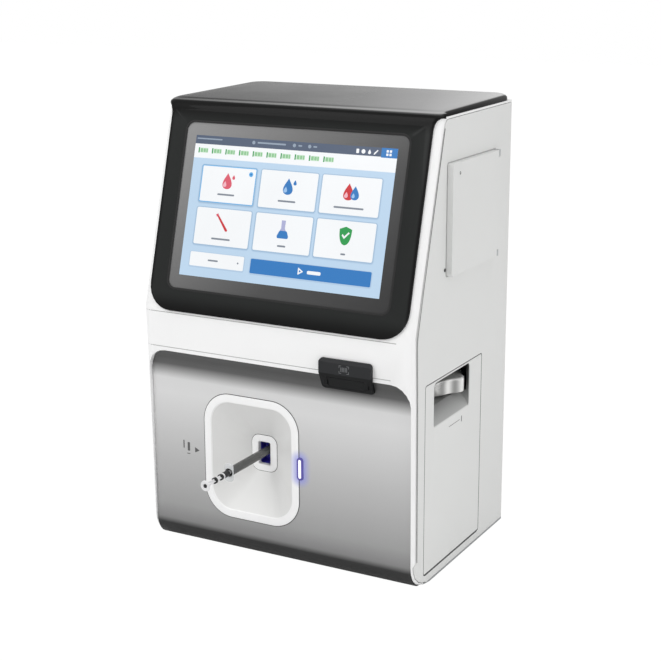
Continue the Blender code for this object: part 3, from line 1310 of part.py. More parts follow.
def make_probe():
    plate_x = DIVIDER_X - FIT_GAP
    frame = box("probe_frame", (plate_x - PROBE_BACKING, plate_x), (depth(PROBE_FRONT), depth(PROBE_REAR)),
                (PROBE_FOOT, PROBE_HEAD))
    for start in (PROBE_FRONT, PROBE_REAR - PROBE_PLATE):
        join(frame, box("probe_end", (PROBE_LEFT, plate_x - PROBE_BACKING / 2),
                        (depth(start), depth(start + PROBE_PLATE)), (PROBE_FOOT, PROBE_HEAD), cutters))
    ends = (depth(PROBE_FRONT) - OVERRUN, depth(PROBE_REAR) + OVERRUN)
    screw = (SCREW_X, SCREW_Z)
    guide = (SCREW_X, ROD_Z)
    needle = (SYRINGE_X, SYRINGE_Z)
    cut(frame, rod("screw_hole", "Y", screw, SCREW_RADIUS + RUN_CLEARANCE, ends, cutters, BORE_STEPS),
        rod("guide_hole", "Y", guide, ROD_RADIUS + FIT_GAP, ends, cutters, BORE_STEPS),
        rod("needle_hole", "Y", needle, NEEDLE_SHEATH_RADIUS + RUN_CLEARANCE, ends, cutters, BORE_STEPS))
    finish(frame, (0.72, 0.73, 0.74), 0.4, 0.8)
    rod_ends = (depth(PROBE_FRONT), depth(PROBE_REAR))
    finish(rod("guide_rod", "Y", guide, ROD_RADIUS, rod_ends, steps=BORE_STEPS), (0.8, 0.8, 0.8), 0.2, 1.0)
    motor_front = depth(PROBE_REAR + FIT_GAP)
    turn = rod("probe_screw", "Y", screw, SCREW_RADIUS,
               (depth(PROBE_FRONT), motor_front + MOTOR_CORNER), steps=BORE_STEPS)
    finish(turn, (0.75, 0.75, 0.76), 0.3, 1.0)
    carry("screw_axis", (SCREW_X, depth(PROBE_REAR), SCREW_Z), turn)
    motor = prism("probe_motor", [middle_rect(screw, MOTOR_SIDE, MOTOR_SIDE, MOTOR_CORNER, 0,
                  SMALL_STEPS)], "XZ", motor_front, motor_front + MOTOR_LENGTH)
    cut(motor, rod("motor_bore", "Y", screw, SCREW_RADIUS + RUN_CLEARANCE,
                   (motor_front - OVERRUN, motor_front + MOTOR_CORNER + FIT_GAP), cutters, BORE_STEPS))
    finish(motor, (0.12, 0.12, 0.13), 0.5, 0.3)
    near = depth(CARRIAGE_DEPTH)
    middle_x = (SYRINGE_X + SCREW_X) / 2
    middle_z = (SCREW_Z + ROD_Z) / 2
    carriage = box("probe_carriage", (middle_x - CARRIAGE_WIDTH / 2, middle_x + CARRIAGE_WIDTH / 2),
                   (near, near + CARRIAGE_LENGTH),
                   (middle_z - CARRIAGE_HEIGHT / 2, middle_z + CARRIAGE_HEIGHT / 2))
    cut(carriage, rod("nut_bore", "Y", screw, SCREW_RADIUS + RUN_CLEARANCE, ends, cutters, BORE_STEPS),
        rod("bush_bore", "Y", guide, ROD_RADIUS + RUN_CLEARANCE, ends, cutters, BORE_STEPS),
        rod("needle_seat", "Y", needle, NEEDLE_SHEATH_RADIUS + FIT_GAP,
            (near - OVERRUN, near + CARRIAGE_LENGTH / 2), cutters, BORE_STEPS))
    finish(carriage, (0.85, 0.85, 0.86), 0.45)
    tip = depth(NEEDLE_TIP)
    seat_end = near + CARRIAGE_LENGTH / 2 - FIT_GAP
    sheath = near - NEEDLE_SHEATH
    shaft = turned("probe_needle", [(0, seat_end), (NEEDLE_SHEATH_RADIUS, seat_end),
                   (NEEDLE_SHEATH_RADIUS, sheath), (NEEDLE_RADIUS, sheath),
                   (NEEDLE_RADIUS, tip + NEEDLE_POINT), (0, tip)], "Y", (SYRINGE_X, 0, SYRINGE_Z),
                   steps=PIN_STEPS)
    finish(shaft, (0.78, 0.79, 0.80), 0.2, 1.0)
    carry("probe_axis", (SYRINGE_X, near, SYRINGE_Z), carriage, shaft)


# Waste drawer

def make_bay():
    y = (depth(BAY_FRONT), depth(BAY_REAR))
    x = (BAY_INNER_X, INNER_FACE)
    foot = PAN_FLANGE_HEIGHT + FIT_GAP
    bay = box("drawer_bay", x, y, (foot, BAY_HEAD))
    hollow = box("bay_hollow", (x[0] + BAY_SHEET, x[1] + OVERRUN), (y[0] + BAY_SHEET, y[1] - BAY_SHEET),
                 (foot + BAY_SHEET, BAY_HEAD - BAY_SHEET), cutters)
    cut(bay, hollow)
    finish(bay, (0.75, 0.76, 0.77), 0.45, 0.6)
    span = (x[0] + BAY_SHEET + FIT_GAP, x[1] - BAY_SHEET)
    heights = (RUNNER_FOOT, RUNNER_FOOT + RUNNER_HEIGHT)
    front = y[0] + BAY_SHEET + FIT_GAP
    rear = y[1] - BAY_SHEET - FIT_GAP
    for name, low in (("runner_front", front), ("runner_rear", rear - RUNNER_WIDTH)):
        runner = box(name, span, (low, low + RUNNER_WIDTH), heights)
        finish(runner, (0.8, 0.8, 0.8), 0.3, 0.9)


def tray_sides():
    front = depth(BAY_FRONT) + BAY_SHEET + FIT_GAP + RUNNER_WIDTH + FIT_GAP
    rear = depth(BAY_REAR) - BAY_SHEET - FIT_GAP - RUNNER_WIDTH - FIT_GAP
    return front, rear


def scoop_profile(shift):
    """The recess floor in (x, z), from inside outward, moved down by shift."""
    inner = HALF_WIDTH - RECESS_LENGTH
    return [(inner, RECESS_FOOT + SCOOP_HEIGHT - shift),
            (HALF_WIDTH - SCOOP_FLAT_LENGTH, RECESS_FOOT + SCOOP_HEIGHT - shift),
            (HALF_WIDTH, RECESS_FOOT - shift)]


def make_drawer():
    plate_x = (HALF_WIDTH - WALL, HALF_WIDTH)
    door = prism("drawer_front", [rounded(depth(DOOR_FRONT), depth(DOOR_REAR), DOOR_FOOT, DOOR_HEAD,
                 DOOR_CORNER, CORNER_STEPS)], "YZ", plate_x[0], plate_x[1])
    recess_inner = HALF_WIDTH - RECESS_LENGTH
    floor = scoop_profile(RECESS_WALL)
    liner = prism("recess_liner", [[(recess_inner - RECESS_WALL, RECESS_HEAD + RECESS_WALL),
                  (recess_inner - RECESS_WALL, floor[0][1]), *floor[1:2],
                  (plate_x[0] + WALL / 2, floor[2][1]), (plate_x[0] + WALL / 2, RECESS_HEAD + RECESS_WALL)]],
                  "XZ", depth(RECESS_FRONT) - RECESS_WALL, depth(RECESS_REAR) + RECESS_WALL, cutters)
    join(door, liner)
    top = scoop_profile(0.0)
    room = prism("recess_room", [top + [(HALF_WIDTH + OVERRUN, RECESS_FOOT),
                 (HALF_WIDTH + OVERRUN, RECESS_HEAD), (recess_inner, RECESS_HEAD)]], "XZ",
                 depth(RECESS_FRONT) - OVERRUN, depth(RECESS_REAR) + OVERRUN, cutters)
    mouth = prism("recess_mouth", [rounded(depth(RECESS_FRONT), depth(RECESS_REAR), RECESS_FOOT,
                  RECESS_HEAD, RECESS_CORNER, ROUND_STEPS)], "YZ", recess_inner,
                  HALF_WIDTH + 2 * OVERRUN, cutters)
    boolean(room, mouth, "INTERSECT")
    neck_hole = rod("neck_hole", "Z", (CAP_X, depth(CAP_DEPTH)), NECK_RADIUS + TANK_CLEARANCE,
                    (TANK_TOP, RECESS_HEAD - CAP_LOBE), cutters)
    cap_room = rod("cap_room", "Z", (CAP_X, depth(CAP_DEPTH)), CAP_RADIUS + CAP_LOBE + TANK_CLEARANCE,
                   (CAP_FOOT - TANK_CLEARANCE, RECESS_HEAD - CAP_LOBE), cutters, CAP_STEPS)
    cut(door, room, neck_hole, cap_room)
    finish(door, (0.83, 0.83, 0.81), 0.4)

    front, rear = tray_sides()
    tray_x = (TRAY_INNER_X, INNER_FACE)
    tray = box("drawer_tray", tray_x, (front, rear), (TRAY_BASE, TRAY_BASE + TRAY_WALL_HEIGHT))
    cut(tray, box("tray_hollow", (tray_x[0] + TRAY_SHEET, tray_x[1] - TRAY_SHEET),
                  (front + TRAY_SHEET, rear - TRAY_SHEET),
                  (TRAY_BASE + TRAY_SHEET, TRAY_BASE + OVERRUN * 2), cutters))
    finish(tray, (0.75, 0.76, 0.77), 0.4, 0.7)

    foot = TRAY_BASE + TRAY_SHEET + FIT_GAP
    tank_y = (front + TRAY_SHEET + TANK_CLEARANCE, rear - TRAY_SHEET - TANK_CLEARANCE)
    tank_x = (TANK_INNER_X, tray_x[1] - TRAY_SHEET - TANK_CLEARANCE)
    tank = box("waste_tank", tank_x, tank_y, (foot, TANK_TOP))
    soften(tank, TANK_ROUND, SMALL_STEPS)
    axis = (CAP_X, depth(CAP_DEPTH))
    join(tank, rod("tank_neck", "Z", axis, NECK_RADIUS, (TANK_TOP - TANK_ROUND, NECK_TOP), cutters,
                   NECK_STEPS))
    cut(tank, box("tank_hollow", (tank_x[0] + TANK_WALL, tank_x[1] - TANK_WALL),
                  (tank_y[0] + TANK_WALL, tank_y[1] - TANK_WALL), (foot + TANK_WALL, TANK_TOP - TANK_WALL),
                  cutters),
        rod("neck_bore", "Z", axis, NECK_RADIUS - NECK_WALL, (TANK_TOP - TANK_ROUND, NECK_TOP + OVERRUN),
            cutters, NECK_STEPS))
    finish(tank, (0.88, 0.89, 0.90), 0.4)
    gasket_foot = NECK_TOP + FIT_GAP
    gasket = turned("tank_gasket", [(NECK_RADIUS, GASKET_THICKNESS), (NECK_RADIUS, 0),
                    (NECK_RADIUS - NECK_WALL, 0), (NECK_RADIUS - NECK_WALL, GASKET_THICKNESS)], "Z",
                    (*axis, gasket_foot), steps=NECK_STEPS)
    finish(gasket, (0.1, 0.1, 0.1), 0.8)

    lobes = []
    for step in range(CAP_STEPS):
        angle = 2 * math.pi * step / CAP_STEPS
        radius = CAP_RADIUS + CAP_LOBE * math.cos(CAP_LOBES * angle)
        lobes.append((axis[0] + radius * math.cos(angle), axis[1] + radius * math.sin(angle)))
    cap = prism("tank_cap", [lobes], "XY", CAP_FOOT, CAP_TOP)
    join(cap, rod("cap_boss", "Z", axis, CAP_BOSS_RADIUS,
                  (CAP_TOP - CAP_BOSS_HEIGHT, CAP_TOP + CAP_BOSS_HEIGHT), cutters))
    cut(cap, rod("cap_cup", "Z", axis, NECK_RADIUS + TANK_CLEARANCE,
                 (CAP_FOOT - OVERRUN, gasket_foot + GASKET_THICKNESS + FIT_GAP), cutters, NECK_STEPS),
        rod("boss_dimple", "Z", axis, CAP_BOSS_RADIUS / 2, (CAP_TOP + CAP_BOSS_HEIGHT / 2, CAP_TOP + OVERRUN),
            cutters, PIN_STEPS))
    finish(cap, (0.85, 0.85, 0.83), 0.35)

    pack = box("reagent_pack", (tray_x[0] + TRAY_SHEET + TANK_CLEARANCE, PACK_OUTER_X), tank_y,
               (foot, PACK_TOP))
    soften(pack, TANK_ROUND, SMALL_STEPS)
    middle = (tank_y[0] + tank_y[1]) / 2
    pack_x = (tray_x[0] + TRAY_SHEET + PACK_OUTER_X) / 2
    for index in range(PACK_PORTS):
        shift = (index - (PACK_PORTS - 1) / 2) * PACK_PORT_PITCH
        join(pack, rod("pack_port", "Z", (pack_x, middle + shift), PACK_PORT_RADIUS,
                       (PACK_TOP - TANK_ROUND, PACK_TOP + PACK_PORT_LENGTH), cutters, BORE_STEPS))
    finish(pack, (0.86, 0.88, 0.92), 0.35)
    slide = carry("drawer_axis", (HALF_WIDTH, depth(DOOR_FRONT), DOOR_FOOT), door, tray, tank, gasket, pack)
    turn = carry("cap_axis", (axis[0], axis[1], CAP_FOOT), cap)
    turn.parent = slide
    turn.matrix_parent_inverse = slide.matrix_world.inverted()


# Side cover, service bay and pump

def cover_axis():
    radius = COVER_THICKNESS / 2
    return HALF_WIDTH + FIT_GAP + radius, depth(COVER_REAR) - radius


def cover_lugs():
    x, y = cover_axis()
    radius = COVER_THICKNESS / 2
    root = HALF_WIDTH - LEAF_SHEET / 2
    outline = arc((x, y), (radius, radius), -math.pi * 5 / 6, math.pi * 5 / 6, LUG_STEPS)
    outline += [(root, y + radius / 2), (root, y - radius / 2)]
    hole = circle((x, y), COVER_PIN_RADIUS + COVER_PIN_CLEARANCE, PIN_STEPS)
    return [prism("lug", [outline, hole], "XY", low, low + LUG_LENGTH, cutters)
            for low in (COVER_FOOT, COVER_HEAD - LUG_LENGTH)]


def service_outline(grow):
    return rounded(depth(COVER_FRONT) + SERVICE_MARGIN - grow, depth(COVER_REAR) - SERVICE_MARGIN + grow,
                   COVER_FOOT + SERVICE_MARGIN - grow, COVER_HEAD - SERVICE_MARGIN + grow,
                   COVER_CORNER, CORNER_STEPS)


def make_cover():
    x, y = cover_axis()
    radius = COVER_THICKNESS / 2
    near = HALF_WIDTH + FIT_GAP
    outline = rounded(depth(COVER_FRONT), y, COVER_FOOT, COVER_HEAD, COVER_CORNER, CORNER_STEPS)
    cover = prism("side_cover", [outline], "YZ", near, near + COVER_THICKNESS)
    join(cover, rod("cover_barrel", "Z", (x, y), radius, (COVER_FOOT, COVER_HEAD), cutters))
    hollow = prism("cover_hollow", [rounded(depth(COVER_FRONT) + COVER_RIM, y - 2 * radius,
                   COVER_FOOT + COVER_RIM, COVER_HEAD - COVER_RIM, COVER_CORNER / 2, SMALL_STEPS)], "YZ",
                   near - OVERRUN, near + COVER_THICKNESS - COVER_SHEET, cutters)
    cut(cover, hollow)
    for low, high in ((COVER_FOOT - OVERRUN, COVER_FOOT + LUG_LENGTH + LUG_GAP),
                      (COVER_HEAD - LUG_LENGTH - LUG_GAP, COVER_HEAD + OVERRUN)):
        cut(cover, box("lug_room", (near - OVERRUN, near + OVERRUN),
                       (y - radius - LUG_GAP, y + OVERRUN), (low, high), cutters))
    cut(cover, rod("cover_pin_hole", "Z", (x, y), COVER_PIN_RADIUS + COVER_PIN_CLEARANCE,
                   (COVER_FOOT - OVERRUN, COVER_HEAD + OVERRUN), cutters, PIN_STEPS))
    finish(cover, (0.86, 0.86, 0.85), 0.4)
    carry("cover_hinge", (x, y, COVER_FOOT), cover)
    pin = rod("cover_hinge_pin", "Z", (x, y), COVER_PIN_RADIUS,
              (COVER_FOOT + FIT_GAP, COVER_HEAD - FIT_GAP), steps=PIN_STEPS)
    finish(pin, (0.7, 0.7, 0.7), 0.3, 1.0)
    leaf = box("cover_hinge_leaf", (HALF_WIDTH - LEAF_SHEET, HALF_WIDTH),
               (depth(COVER_REAR) - LEAF_WIDTH, depth(COVER_REAR)), (COVER_FOOT, COVER_HEAD))
    join(leaf, *cover_lugs())
    finish(leaf, (0.7, 0.7, 0.7), 0.35, 0.8)


def make_service_bay():
    back = INNER_FACE - SERVICE_LENGTH
    tray = prism("service_tray", [service_outline(SERVICE_SHEET)], "YZ", back, INNER_FACE)
    join(tray, prism("service_flange", [service_outline(SERVICE_FLANGE)], "YZ",
                     INNER_FACE - SERVICE_SHEET, INNER_FACE - FIT_GAP / 2, cutters))
    shaft = (depth(PUMP_DEPTH), PUMP_Z)
    cut(tray, prism("service_hollow", [service_outline(0.0)], "YZ", back + SERVICE_SHEET,
                    INNER_FACE + OVERRUN, cutters),
        rod("shaft_hole", "X", shaft, ROTOR_SHAFT + 2 * RUN_CLEARANCE, (back - OVERRUN, back + OVERRUN / 2),
            cutters, BORE_STEPS))
    finish(tray, (0.78, 0.79, 0.80), 0.4, 0.5)

    floor = back + SERVICE_SHEET + FIT_GAP
    face = floor + PUMP_LENGTH
    housing = prism("pump_housing", [middle_rect(shaft, PUMP_SIDE, PUMP_SIDE, PUMP_CORNER, 0,
                    CORNER_STEPS)], "YZ", floor, face)
    pocket = rod("pump_pocket", "X", shaft, PUMP_POCKET, (floor + PUMP_FLOOR, face + OVERRUN), cutters,
                 NECK_STEPS)
    leg_y = ROLLER_ORBIT + ROLLER_RADIUS + PUMP_TUBE_RADIUS + FIT_GAP
    leg_room = PUMP_TUBE_RADIUS + 2 * FIT_GAP
    middle = floor + PUMP_FLOOR + ROTOR_CHEEK + FIT_GAP + ROTOR_SPAN / 2
    legs = [box("tube_slot", (middle - leg_room, face + OVERRUN),
                (shaft[0] + side * leg_y - leg_room, shaft[0] + side * leg_y + leg_room),
                (PUMP_Z - PUMP_SIDE, PUMP_Z), cutters) for side in (-1, 1)]
    cut(housing, pocket, *legs)
    cut(housing, rod("housing_bore", "X", shaft, ROTOR_SHAFT + RUN_CLEARANCE,
                     (back - OVERRUN, floor + OVERRUN), cutters, BORE_STEPS))
    finish(housing, (0.20, 0.21, 0.23), 0.5)

    low = floor + PUMP_FLOOR + FIT_GAP
    motor_face = back - FIT_GAP
    rotor = rod("pump_rotor", "X", shaft, ROTOR_RADIUS, (low, low + ROTOR_CHEEK))
    span = (low + ROTOR_CHEEK, low + ROTOR_CHEEK + ROTOR_SPAN)
    join(rotor, rod("rotor_outer", "X", shaft, ROTOR_RADIUS, (span[1], span[1] + ROTOR_CHEEK), cutters),
         rod("rotor_hub", "X", shaft, ROTOR_SHAFT * 2,
             (span[0] - ROTOR_CHEEK / 2, span[1] + ROTOR_CHEEK / 2), cutters, BORE_STEPS),
         rod("rotor_shaft", "X", shaft, ROTOR_SHAFT, (motor_face - ROTOR_SPAN, span[0]), cutters, BORE_STEPS))
    finish(rotor, (0.55, 0.56, 0.58), 0.4)
    turn = carry("pump_axis", (low, shaft[0], shaft[1]), rotor)
    for index in range(ROLLERS):
        angle = math.pi / 2 + index * 2 * math.pi / ROLLERS
        place_y = shaft[0] + ROLLER_ORBIT * math.cos(angle)
        place_z = shaft[1] + ROLLER_ORBIT * math.sin(angle)
        join(rotor, rod("roller_pin", "X", (place_y, place_z), ROLLER_PIN,
                        (span[0] - ROTOR_CHEEK / 2, span[1] + ROTOR_CHEEK / 2), cutters, PIN_STEPS))
        bore = ROLLER_PIN + RUN_CLEARANCE / 2
        length = ROTOR_SPAN - 2 * FIT_GAP
        roller = turned(f"pump_roller_{index + 1}", [(ROLLER_RADIUS, length), (ROLLER_RADIUS, 0),
                        (bore, 0), (bore, length)], "X", (span[0] + FIT_GAP, place_y, place_z))
        finish(roller, (0.9, 0.9, 0.9), 0.35)
        follow = carry(f"roller_axis_{index + 1}", (span[0], place_y, place_z), roller)
        follow.parent = turn
        follow.matrix_parent_inverse = turn.matrix_world.inverted()

    motor = rod("pump_motor", "X", shaft, PUMP_MOTOR_RADIUS, (motor_face - PUMP_MOTOR_LENGTH, motor_face))
    cut(motor, rod("motor_socket", "X", shaft, ROTOR_SHAFT + RUN_CLEARANCE,
                   (motor_face - ROTOR_SPAN - FIT_GAP, motor_face + OVERRUN), cutters, BORE_STEPS))
    finish(motor, (0.6, 0.61, 0.63), 0.35, 0.8)

    tube = bpy.data.curves.new("pump_tube", "CURVE")
    tube.dimensions = "3D"
    tube.bevel_depth = PUMP_TUBE_RADIUS
    tube.bevel_resolution = 2
    tube.use_fill_caps = True
    route = [(middle, shaft[0] + leg_y, PUMP_Z - PUMP_TUBE_LEG)]
    route += [(middle, y, z) for y, z in arc(shaft, (leg_y, leg_y), 0, math.pi, PUMP_TUBE_STEPS)]
    route.append((middle, shaft[0] - leg_y, PUMP_Z - PUMP_TUBE_LEG))
    line = tube.splines.new("POLY")
    line.points.add(len(route) - 1)
    for point, where in zip(line.points, route):
        point.co = (*where, 1)
    finish(welded("pump_tube", tube, parts), (0.9, 0.85, 0.8), 0.3)

    sensor = prism("sensor_cartridge", [rounded(depth(SENSOR_FRONT), depth(SENSOR_REAR), SENSOR_FOOT,
                   SENSOR_HEAD, COVER_CORNER, CORNER_STEPS)], "YZ", floor, floor + SENSOR_LENGTH)
    grip_z = (SENSOR_FOOT + SENSOR_HEAD) / 2
    grip_y = depth((SENSOR_FRONT + SENSOR_REAR) / 2)
    join(sensor, box("sensor_grip", (floor + SENSOR_LENGTH / 2, floor + SENSOR_LENGTH + SENSOR_GRIP_LENGTH),
                     (grip_y - SENSOR_GRIP_WIDTH / 2, grip_y + SENSOR_GRIP_WIDTH / 2),
                     (grip_z - SENSOR_GRIP_HEIGHT / 2, grip_z + SENSOR_GRIP_HEIGHT / 2), cutters))
    finish(sensor, (0.25, 0.40, 0.62), 0.4)


# Chassis, rear side and electronics

def make_chassis():
    shelf = plan_prism("mid_shelf", INNER_FACE, depth(SHELF_FRONT), BACK - WALL - FIT_GAP,
                       SHELF_HEIGHT, SHELF_HEIGHT + SHELF_SHEET, LEAST_ROUND)
    finish(shelf, (0.72, 0.73, 0.74), 0.4, 0.8)
    wall = box("divider_wall", (DIVIDER_X, DIVIDER_X + DIVIDER_SHEET),
               (depth(PAN_FRONT) + PAN_RIM_SETBACK + PAN_SHEET + FIT_GAP,
                BACK - WALL - PAN_SHEET - 2 * FIT_GAP),
               (PAN_LIP + FIT_GAP, SHELF_HEIGHT - FIT_GAP))
    finish(wall, (0.72, 0.73, 0.74), 0.4, 0.8)


def stud_places():
    inset = BOARD_STUD_INSET
    return [(x, z) for x in (BOARD_LEFT + inset, BOARD_RIGHT - inset)
            for z in (BOARD_FOOT + inset, BOARD_HEAD - inset)]


def make_electronics():
    board_back = BACK - WALL - BOARD_STANDOFF
    board = box("mainboard", (BOARD_LEFT, BOARD_RIGHT), (board_back - BOARD_THICKNESS, board_back),
                (BOARD_FOOT, BOARD_HEAD))
    middle_x = (BOARD_LEFT + BOARD_RIGHT) / 2
    middle_z = (BOARD_FOOT + BOARD_HEAD) / 2
    for column, row in ((-1, 1), (1, 1), (0, 0), (-1, -1), (1, -1)):
        x = middle_x + column * CHIP_SIDE * 3 / 2
        z = middle_z + row * CHIP_SIDE * 3 / 2
        join(board, box("chip", (x - CHIP_SIDE / 2, x + CHIP_SIDE / 2),
                        (board_back - BOARD_THICKNESS - CHIP_HEIGHT, board_back - BOARD_THICKNESS / 2),
                        (z - CHIP_SIDE / 2, z + CHIP_SIDE / 2), cutters))
    finish(board, (0.05, 0.28, 0.16), 0.5)

    near = board_back + FIT_GAP
    ports = box("io_block", (IO_X - IO_WIDTH / 2, IO_X + IO_WIDTH / 2), (near, near + IO_LENGTH),
                (IO_Z - IO_HEIGHT / 2, IO_Z + IO_HEIGHT / 2))
    for index in (-1, 0, 1):
        x = IO_X + index * IO_PORT_PITCH
        cut(ports, box("io_port", (x - IO_PORT_WIDTH / 2, x + IO_PORT_WIDTH / 2),
                       (near + IO_LENGTH - IO_PORT_DEPTH, near + IO_LENGTH + OVERRUN),
                       (IO_Z - IO_PORT_HEIGHT / 2, IO_Z + IO_PORT_HEIGHT / 2), cutters))
    finish(ports, (0.6, 0.6, 0.62), 0.35, 0.8)

    foot = PAN_LIP + FIT_GAP
    supply = box("power_supply", (SUPPLY_LEFT, SUPPLY_RIGHT), (depth(SUPPLY_FRONT), depth(SUPPLY_REAR)),
                 (foot, foot + SUPPLY_HEIGHT))
    length = (SUPPLY_RIGHT - SUPPLY_LEFT) * SUPPLY_SLOT_LENGTH_SHARE
    middle = (SUPPLY_LEFT + SUPPLY_RIGHT) / 2
    pitch = (SUPPLY_REAR - SUPPLY_FRONT) / (SUPPLY_SLOTS + 1)
    for index in range(SUPPLY_SLOTS):
        y = depth(SUPPLY_FRONT + pitch * (index + 1))
        cut(supply, box("supply_slot", (middle - length / 2, middle + length / 2),
                        (y - SUPPLY_SLOT_WIDTH / 2, y + SUPPLY_SLOT_WIDTH / 2),
                        (foot + SUPPLY_HEIGHT - SUPPLY_SLOT_DEPTH, foot + SUPPLY_HEIGHT + OVERRUN), cutters))
    finish(supply, (0.65, 0.66, 0.67), 0.4, 0.8)


def make_fan():
    rear = BACK - WALL - FIT_GAP
    front = rear - FAN_THICKNESS
    axis = (FAN_X, FAN_Z)
    frame = prism("fan_frame", [middle_rect(axis, FAN_SIDE, FAN_SIDE, FAN_CORNER, 0, 3),
                  circle(axis, FAN_BORE, 32)], "XZ", front, rear)
    for turn in range(3):
        arm = box("fan_arm", (0, (FAN_SIDE / 2 + FAN_BORE) / 2), (0, FAN_ARM / 2),
                  (-FAN_ARM / 2, FAN_ARM / 2), cutters)
        arm.data.transform(Matrix.Translation(arm.location))
        arm.location = (FAN_X, front, FAN_Z)
        arm.rotation_euler = (0, turn * 2 * math.pi / 3 + math.pi / 2, 0)
        join(frame, arm)
    join(frame, rod("fan_mount", "Y", axis, FAN_HUB_RADIUS, (front, front + FAN_ARM), cutters),
         rod("fan_spindle", "Y", axis, FAN_SPINDLE, (front + FAN_ARM / 2, rear - FAN_ARM), cutters,
             BORE_STEPS))
    finish(frame, (0.06, 0.06, 0.065), 0.5)
    hub = (front + FAN_ARM + 2 * FIT_GAP, rear - FAN_ARM / 2)
    rotor = rod("fan_rotor", "Y", axis, FAN_HUB_RADIUS, hub)
    middle = (hub[0] + hub[1]) / 2
    for index in range(FAN_BLADES):
        blade = box("fan_blade", (FAN_HUB_RADIUS - FAN_SPINDLE, FAN_BLADE_RADIUS),
                    (-FAN_BLADE_THICKNESS / 2, FAN_BLADE_THICKNESS / 2),
                    (-FAN_BLADE_WIDTH / 2, FAN_BLADE_WIDTH / 2), cutters)
        blade.data.transform(Matrix.Translation(blade.location))
        turn = Matrix.Rotation(index * 2 * math.pi / FAN_BLADES, 4, "Y")
        pitch = Matrix.Rotation(FAN_BLADE_PITCH, 4, "X")
        blade.matrix_world = Matrix.Translation((FAN_X, middle, FAN_Z)) @ turn @ pitch
        join(rotor, blade)
    cut(rotor, rod("rotor_bore", "Y", axis, FAN_SPINDLE + RUN_CLEARANCE,
                   (hub[0] - OVERRUN, rear - FAN_ARM + FIT_GAP), cutters, BORE_STEPS))
    finish(rotor, (0.07, 0.07, 0.075), 0.5)
    carry("fan_axis", (FAN_X, middle, FAN_Z), rotor)


def make_power():
    face = BACK + FIT_GAP
    half_width = POWER_WIDTH / 2
    half_height = POWER_HEIGHT / 2
    inlet = box("power_inlet", (POWER_X - half_width, POWER_X + half_width), (face - POWER_LENGTH, face),
                (POWER_Z - half_height, POWER_Z + half_height))
    flange = POWER_FLANGE / 2
    join(inlet, box("power_flange", (POWER_X - half_width - flange, POWER_X + half_width + flange),
                    (face, face + POWER_FLANGE_THICKNESS),
                    (POWER_Z - half_height - flange, POWER_Z + half_height + flange), cutters))
    out = face + POWER_FLANGE_THICKNESS
    socket_x = POWER_X + POWER_SOCKET_SHIFT
    cut(inlet, box("power_socket", (socket_x - POWER_SOCKET_WIDTH / 2, socket_x + POWER_SOCKET_WIDTH / 2),
                   (out - POWER_SOCKET_DEPTH, out + OVERRUN),
                   (POWER_Z - POWER_SOCKET_HEIGHT / 2, POWER_Z + POWER_SOCKET_HEIGHT / 2), cutters))
    for column, row in ((-1, -1), (0, 1), (1, -1)):
        x = socket_x + column * POWER_PIN_PITCH
        z = POWER_Z + row * POWER_PIN_HEIGHT / 2
        join(inlet, box("power_pin", (x - POWER_PIN_WIDTH / 2, x + POWER_PIN_WIDTH / 2),
                        (out - POWER_SOCKET_DEPTH - POWER_PIN_WIDTH, out - POWER_SOCKET_DEPTH
                         + POWER_PIN_LENGTH),
                        (z - POWER_PIN_HEIGHT / 2, z + POWER_PIN_HEIGHT / 2), cutters))
    rocker_x = POWER_X + ROCKER_SHIFT
    gap = ROCKER_CLEARANCE / 2
    pocket_x = (rocker_x - ROCKER_WIDTH / 2 - gap, rocker_x + ROCKER_WIDTH / 2 + gap)
    pivot_y = out - ROCKER_DEPTH / 2
    cut(inlet, box("rocker_pocket", pocket_x, (out - ROCKER_POCKET_DEPTH, out + OVERRUN),
                   (POWER_Z - ROCKER_HEIGHT / 2 - ROCKER_CLEARANCE,
                    POWER_Z + ROCKER_HEIGHT / 2 + ROCKER_CLEARANCE), cutters))
    reach = ROCKER_WIDTH / 2 + ROCKER_PIVOT_LENGTH
    cut(inlet, rod("pivot_hole", "X", (pivot_y, POWER_Z), ROCKER_PIVOT_RADIUS + RUN_CLEARANCE,
                   (rocker_x - reach - gap, rocker_x + reach + gap), cutters, PIN_STEPS))
    finish(inlet, (0.05, 0.05, 0.05), 0.5)
    half = ROCKER_HEIGHT / 2
    deep = ROCKER_DEPTH / 2
    rocker = prism("power_rocker", [[(-deep, -half / 2), (deep, -half), (deep / 2, 0), (deep, half),
                   (-deep, half / 2)]], "YZ", -ROCKER_WIDTH / 2, ROCKER_WIDTH / 2)
    pivot = rod("rocker_pivot", "X", (0, 0), ROCKER_PIVOT_RADIUS, (-reach, reach), cutters, PIN_STEPS)
    hinge = Matrix.Translation((rocker_x, pivot_y, POWER_Z)) @ Matrix.Rotation(-ROCKER_TIP, 4, "X")
    rocker.matrix_world = hinge @ rocker.matrix_world
    pivot.matrix_world = hinge @ Matrix.Rotation(math.pi / 2, 4, "Y")
    join(rocker, pivot)
    finish(rocker, (0.03, 0.03, 0.03), 0.4)
    carry("rocker_axis", (rocker_x, pivot_y, POWER_Z), rocker)


make_base_pan()
make_feet()
make_front_frame()
make_side_panel("side_panel_left", -1)
make_side_panel("side_panel_right", 1)
make_rear_panel()
make_hood()
make_display()
make_fascia()
make_port()
make_syringe()
make_pod()
make_probe()
make_bay()
make_drawer()
make_cover()
make_service_bay()
make_chassis()
make_electronics()
make_fan()
make_power()
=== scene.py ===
import json
import math

import bmesh
import bpy
import numpy as np
from mathutils import Matrix, Vector
from mathutils.bvhtree import BVHTree


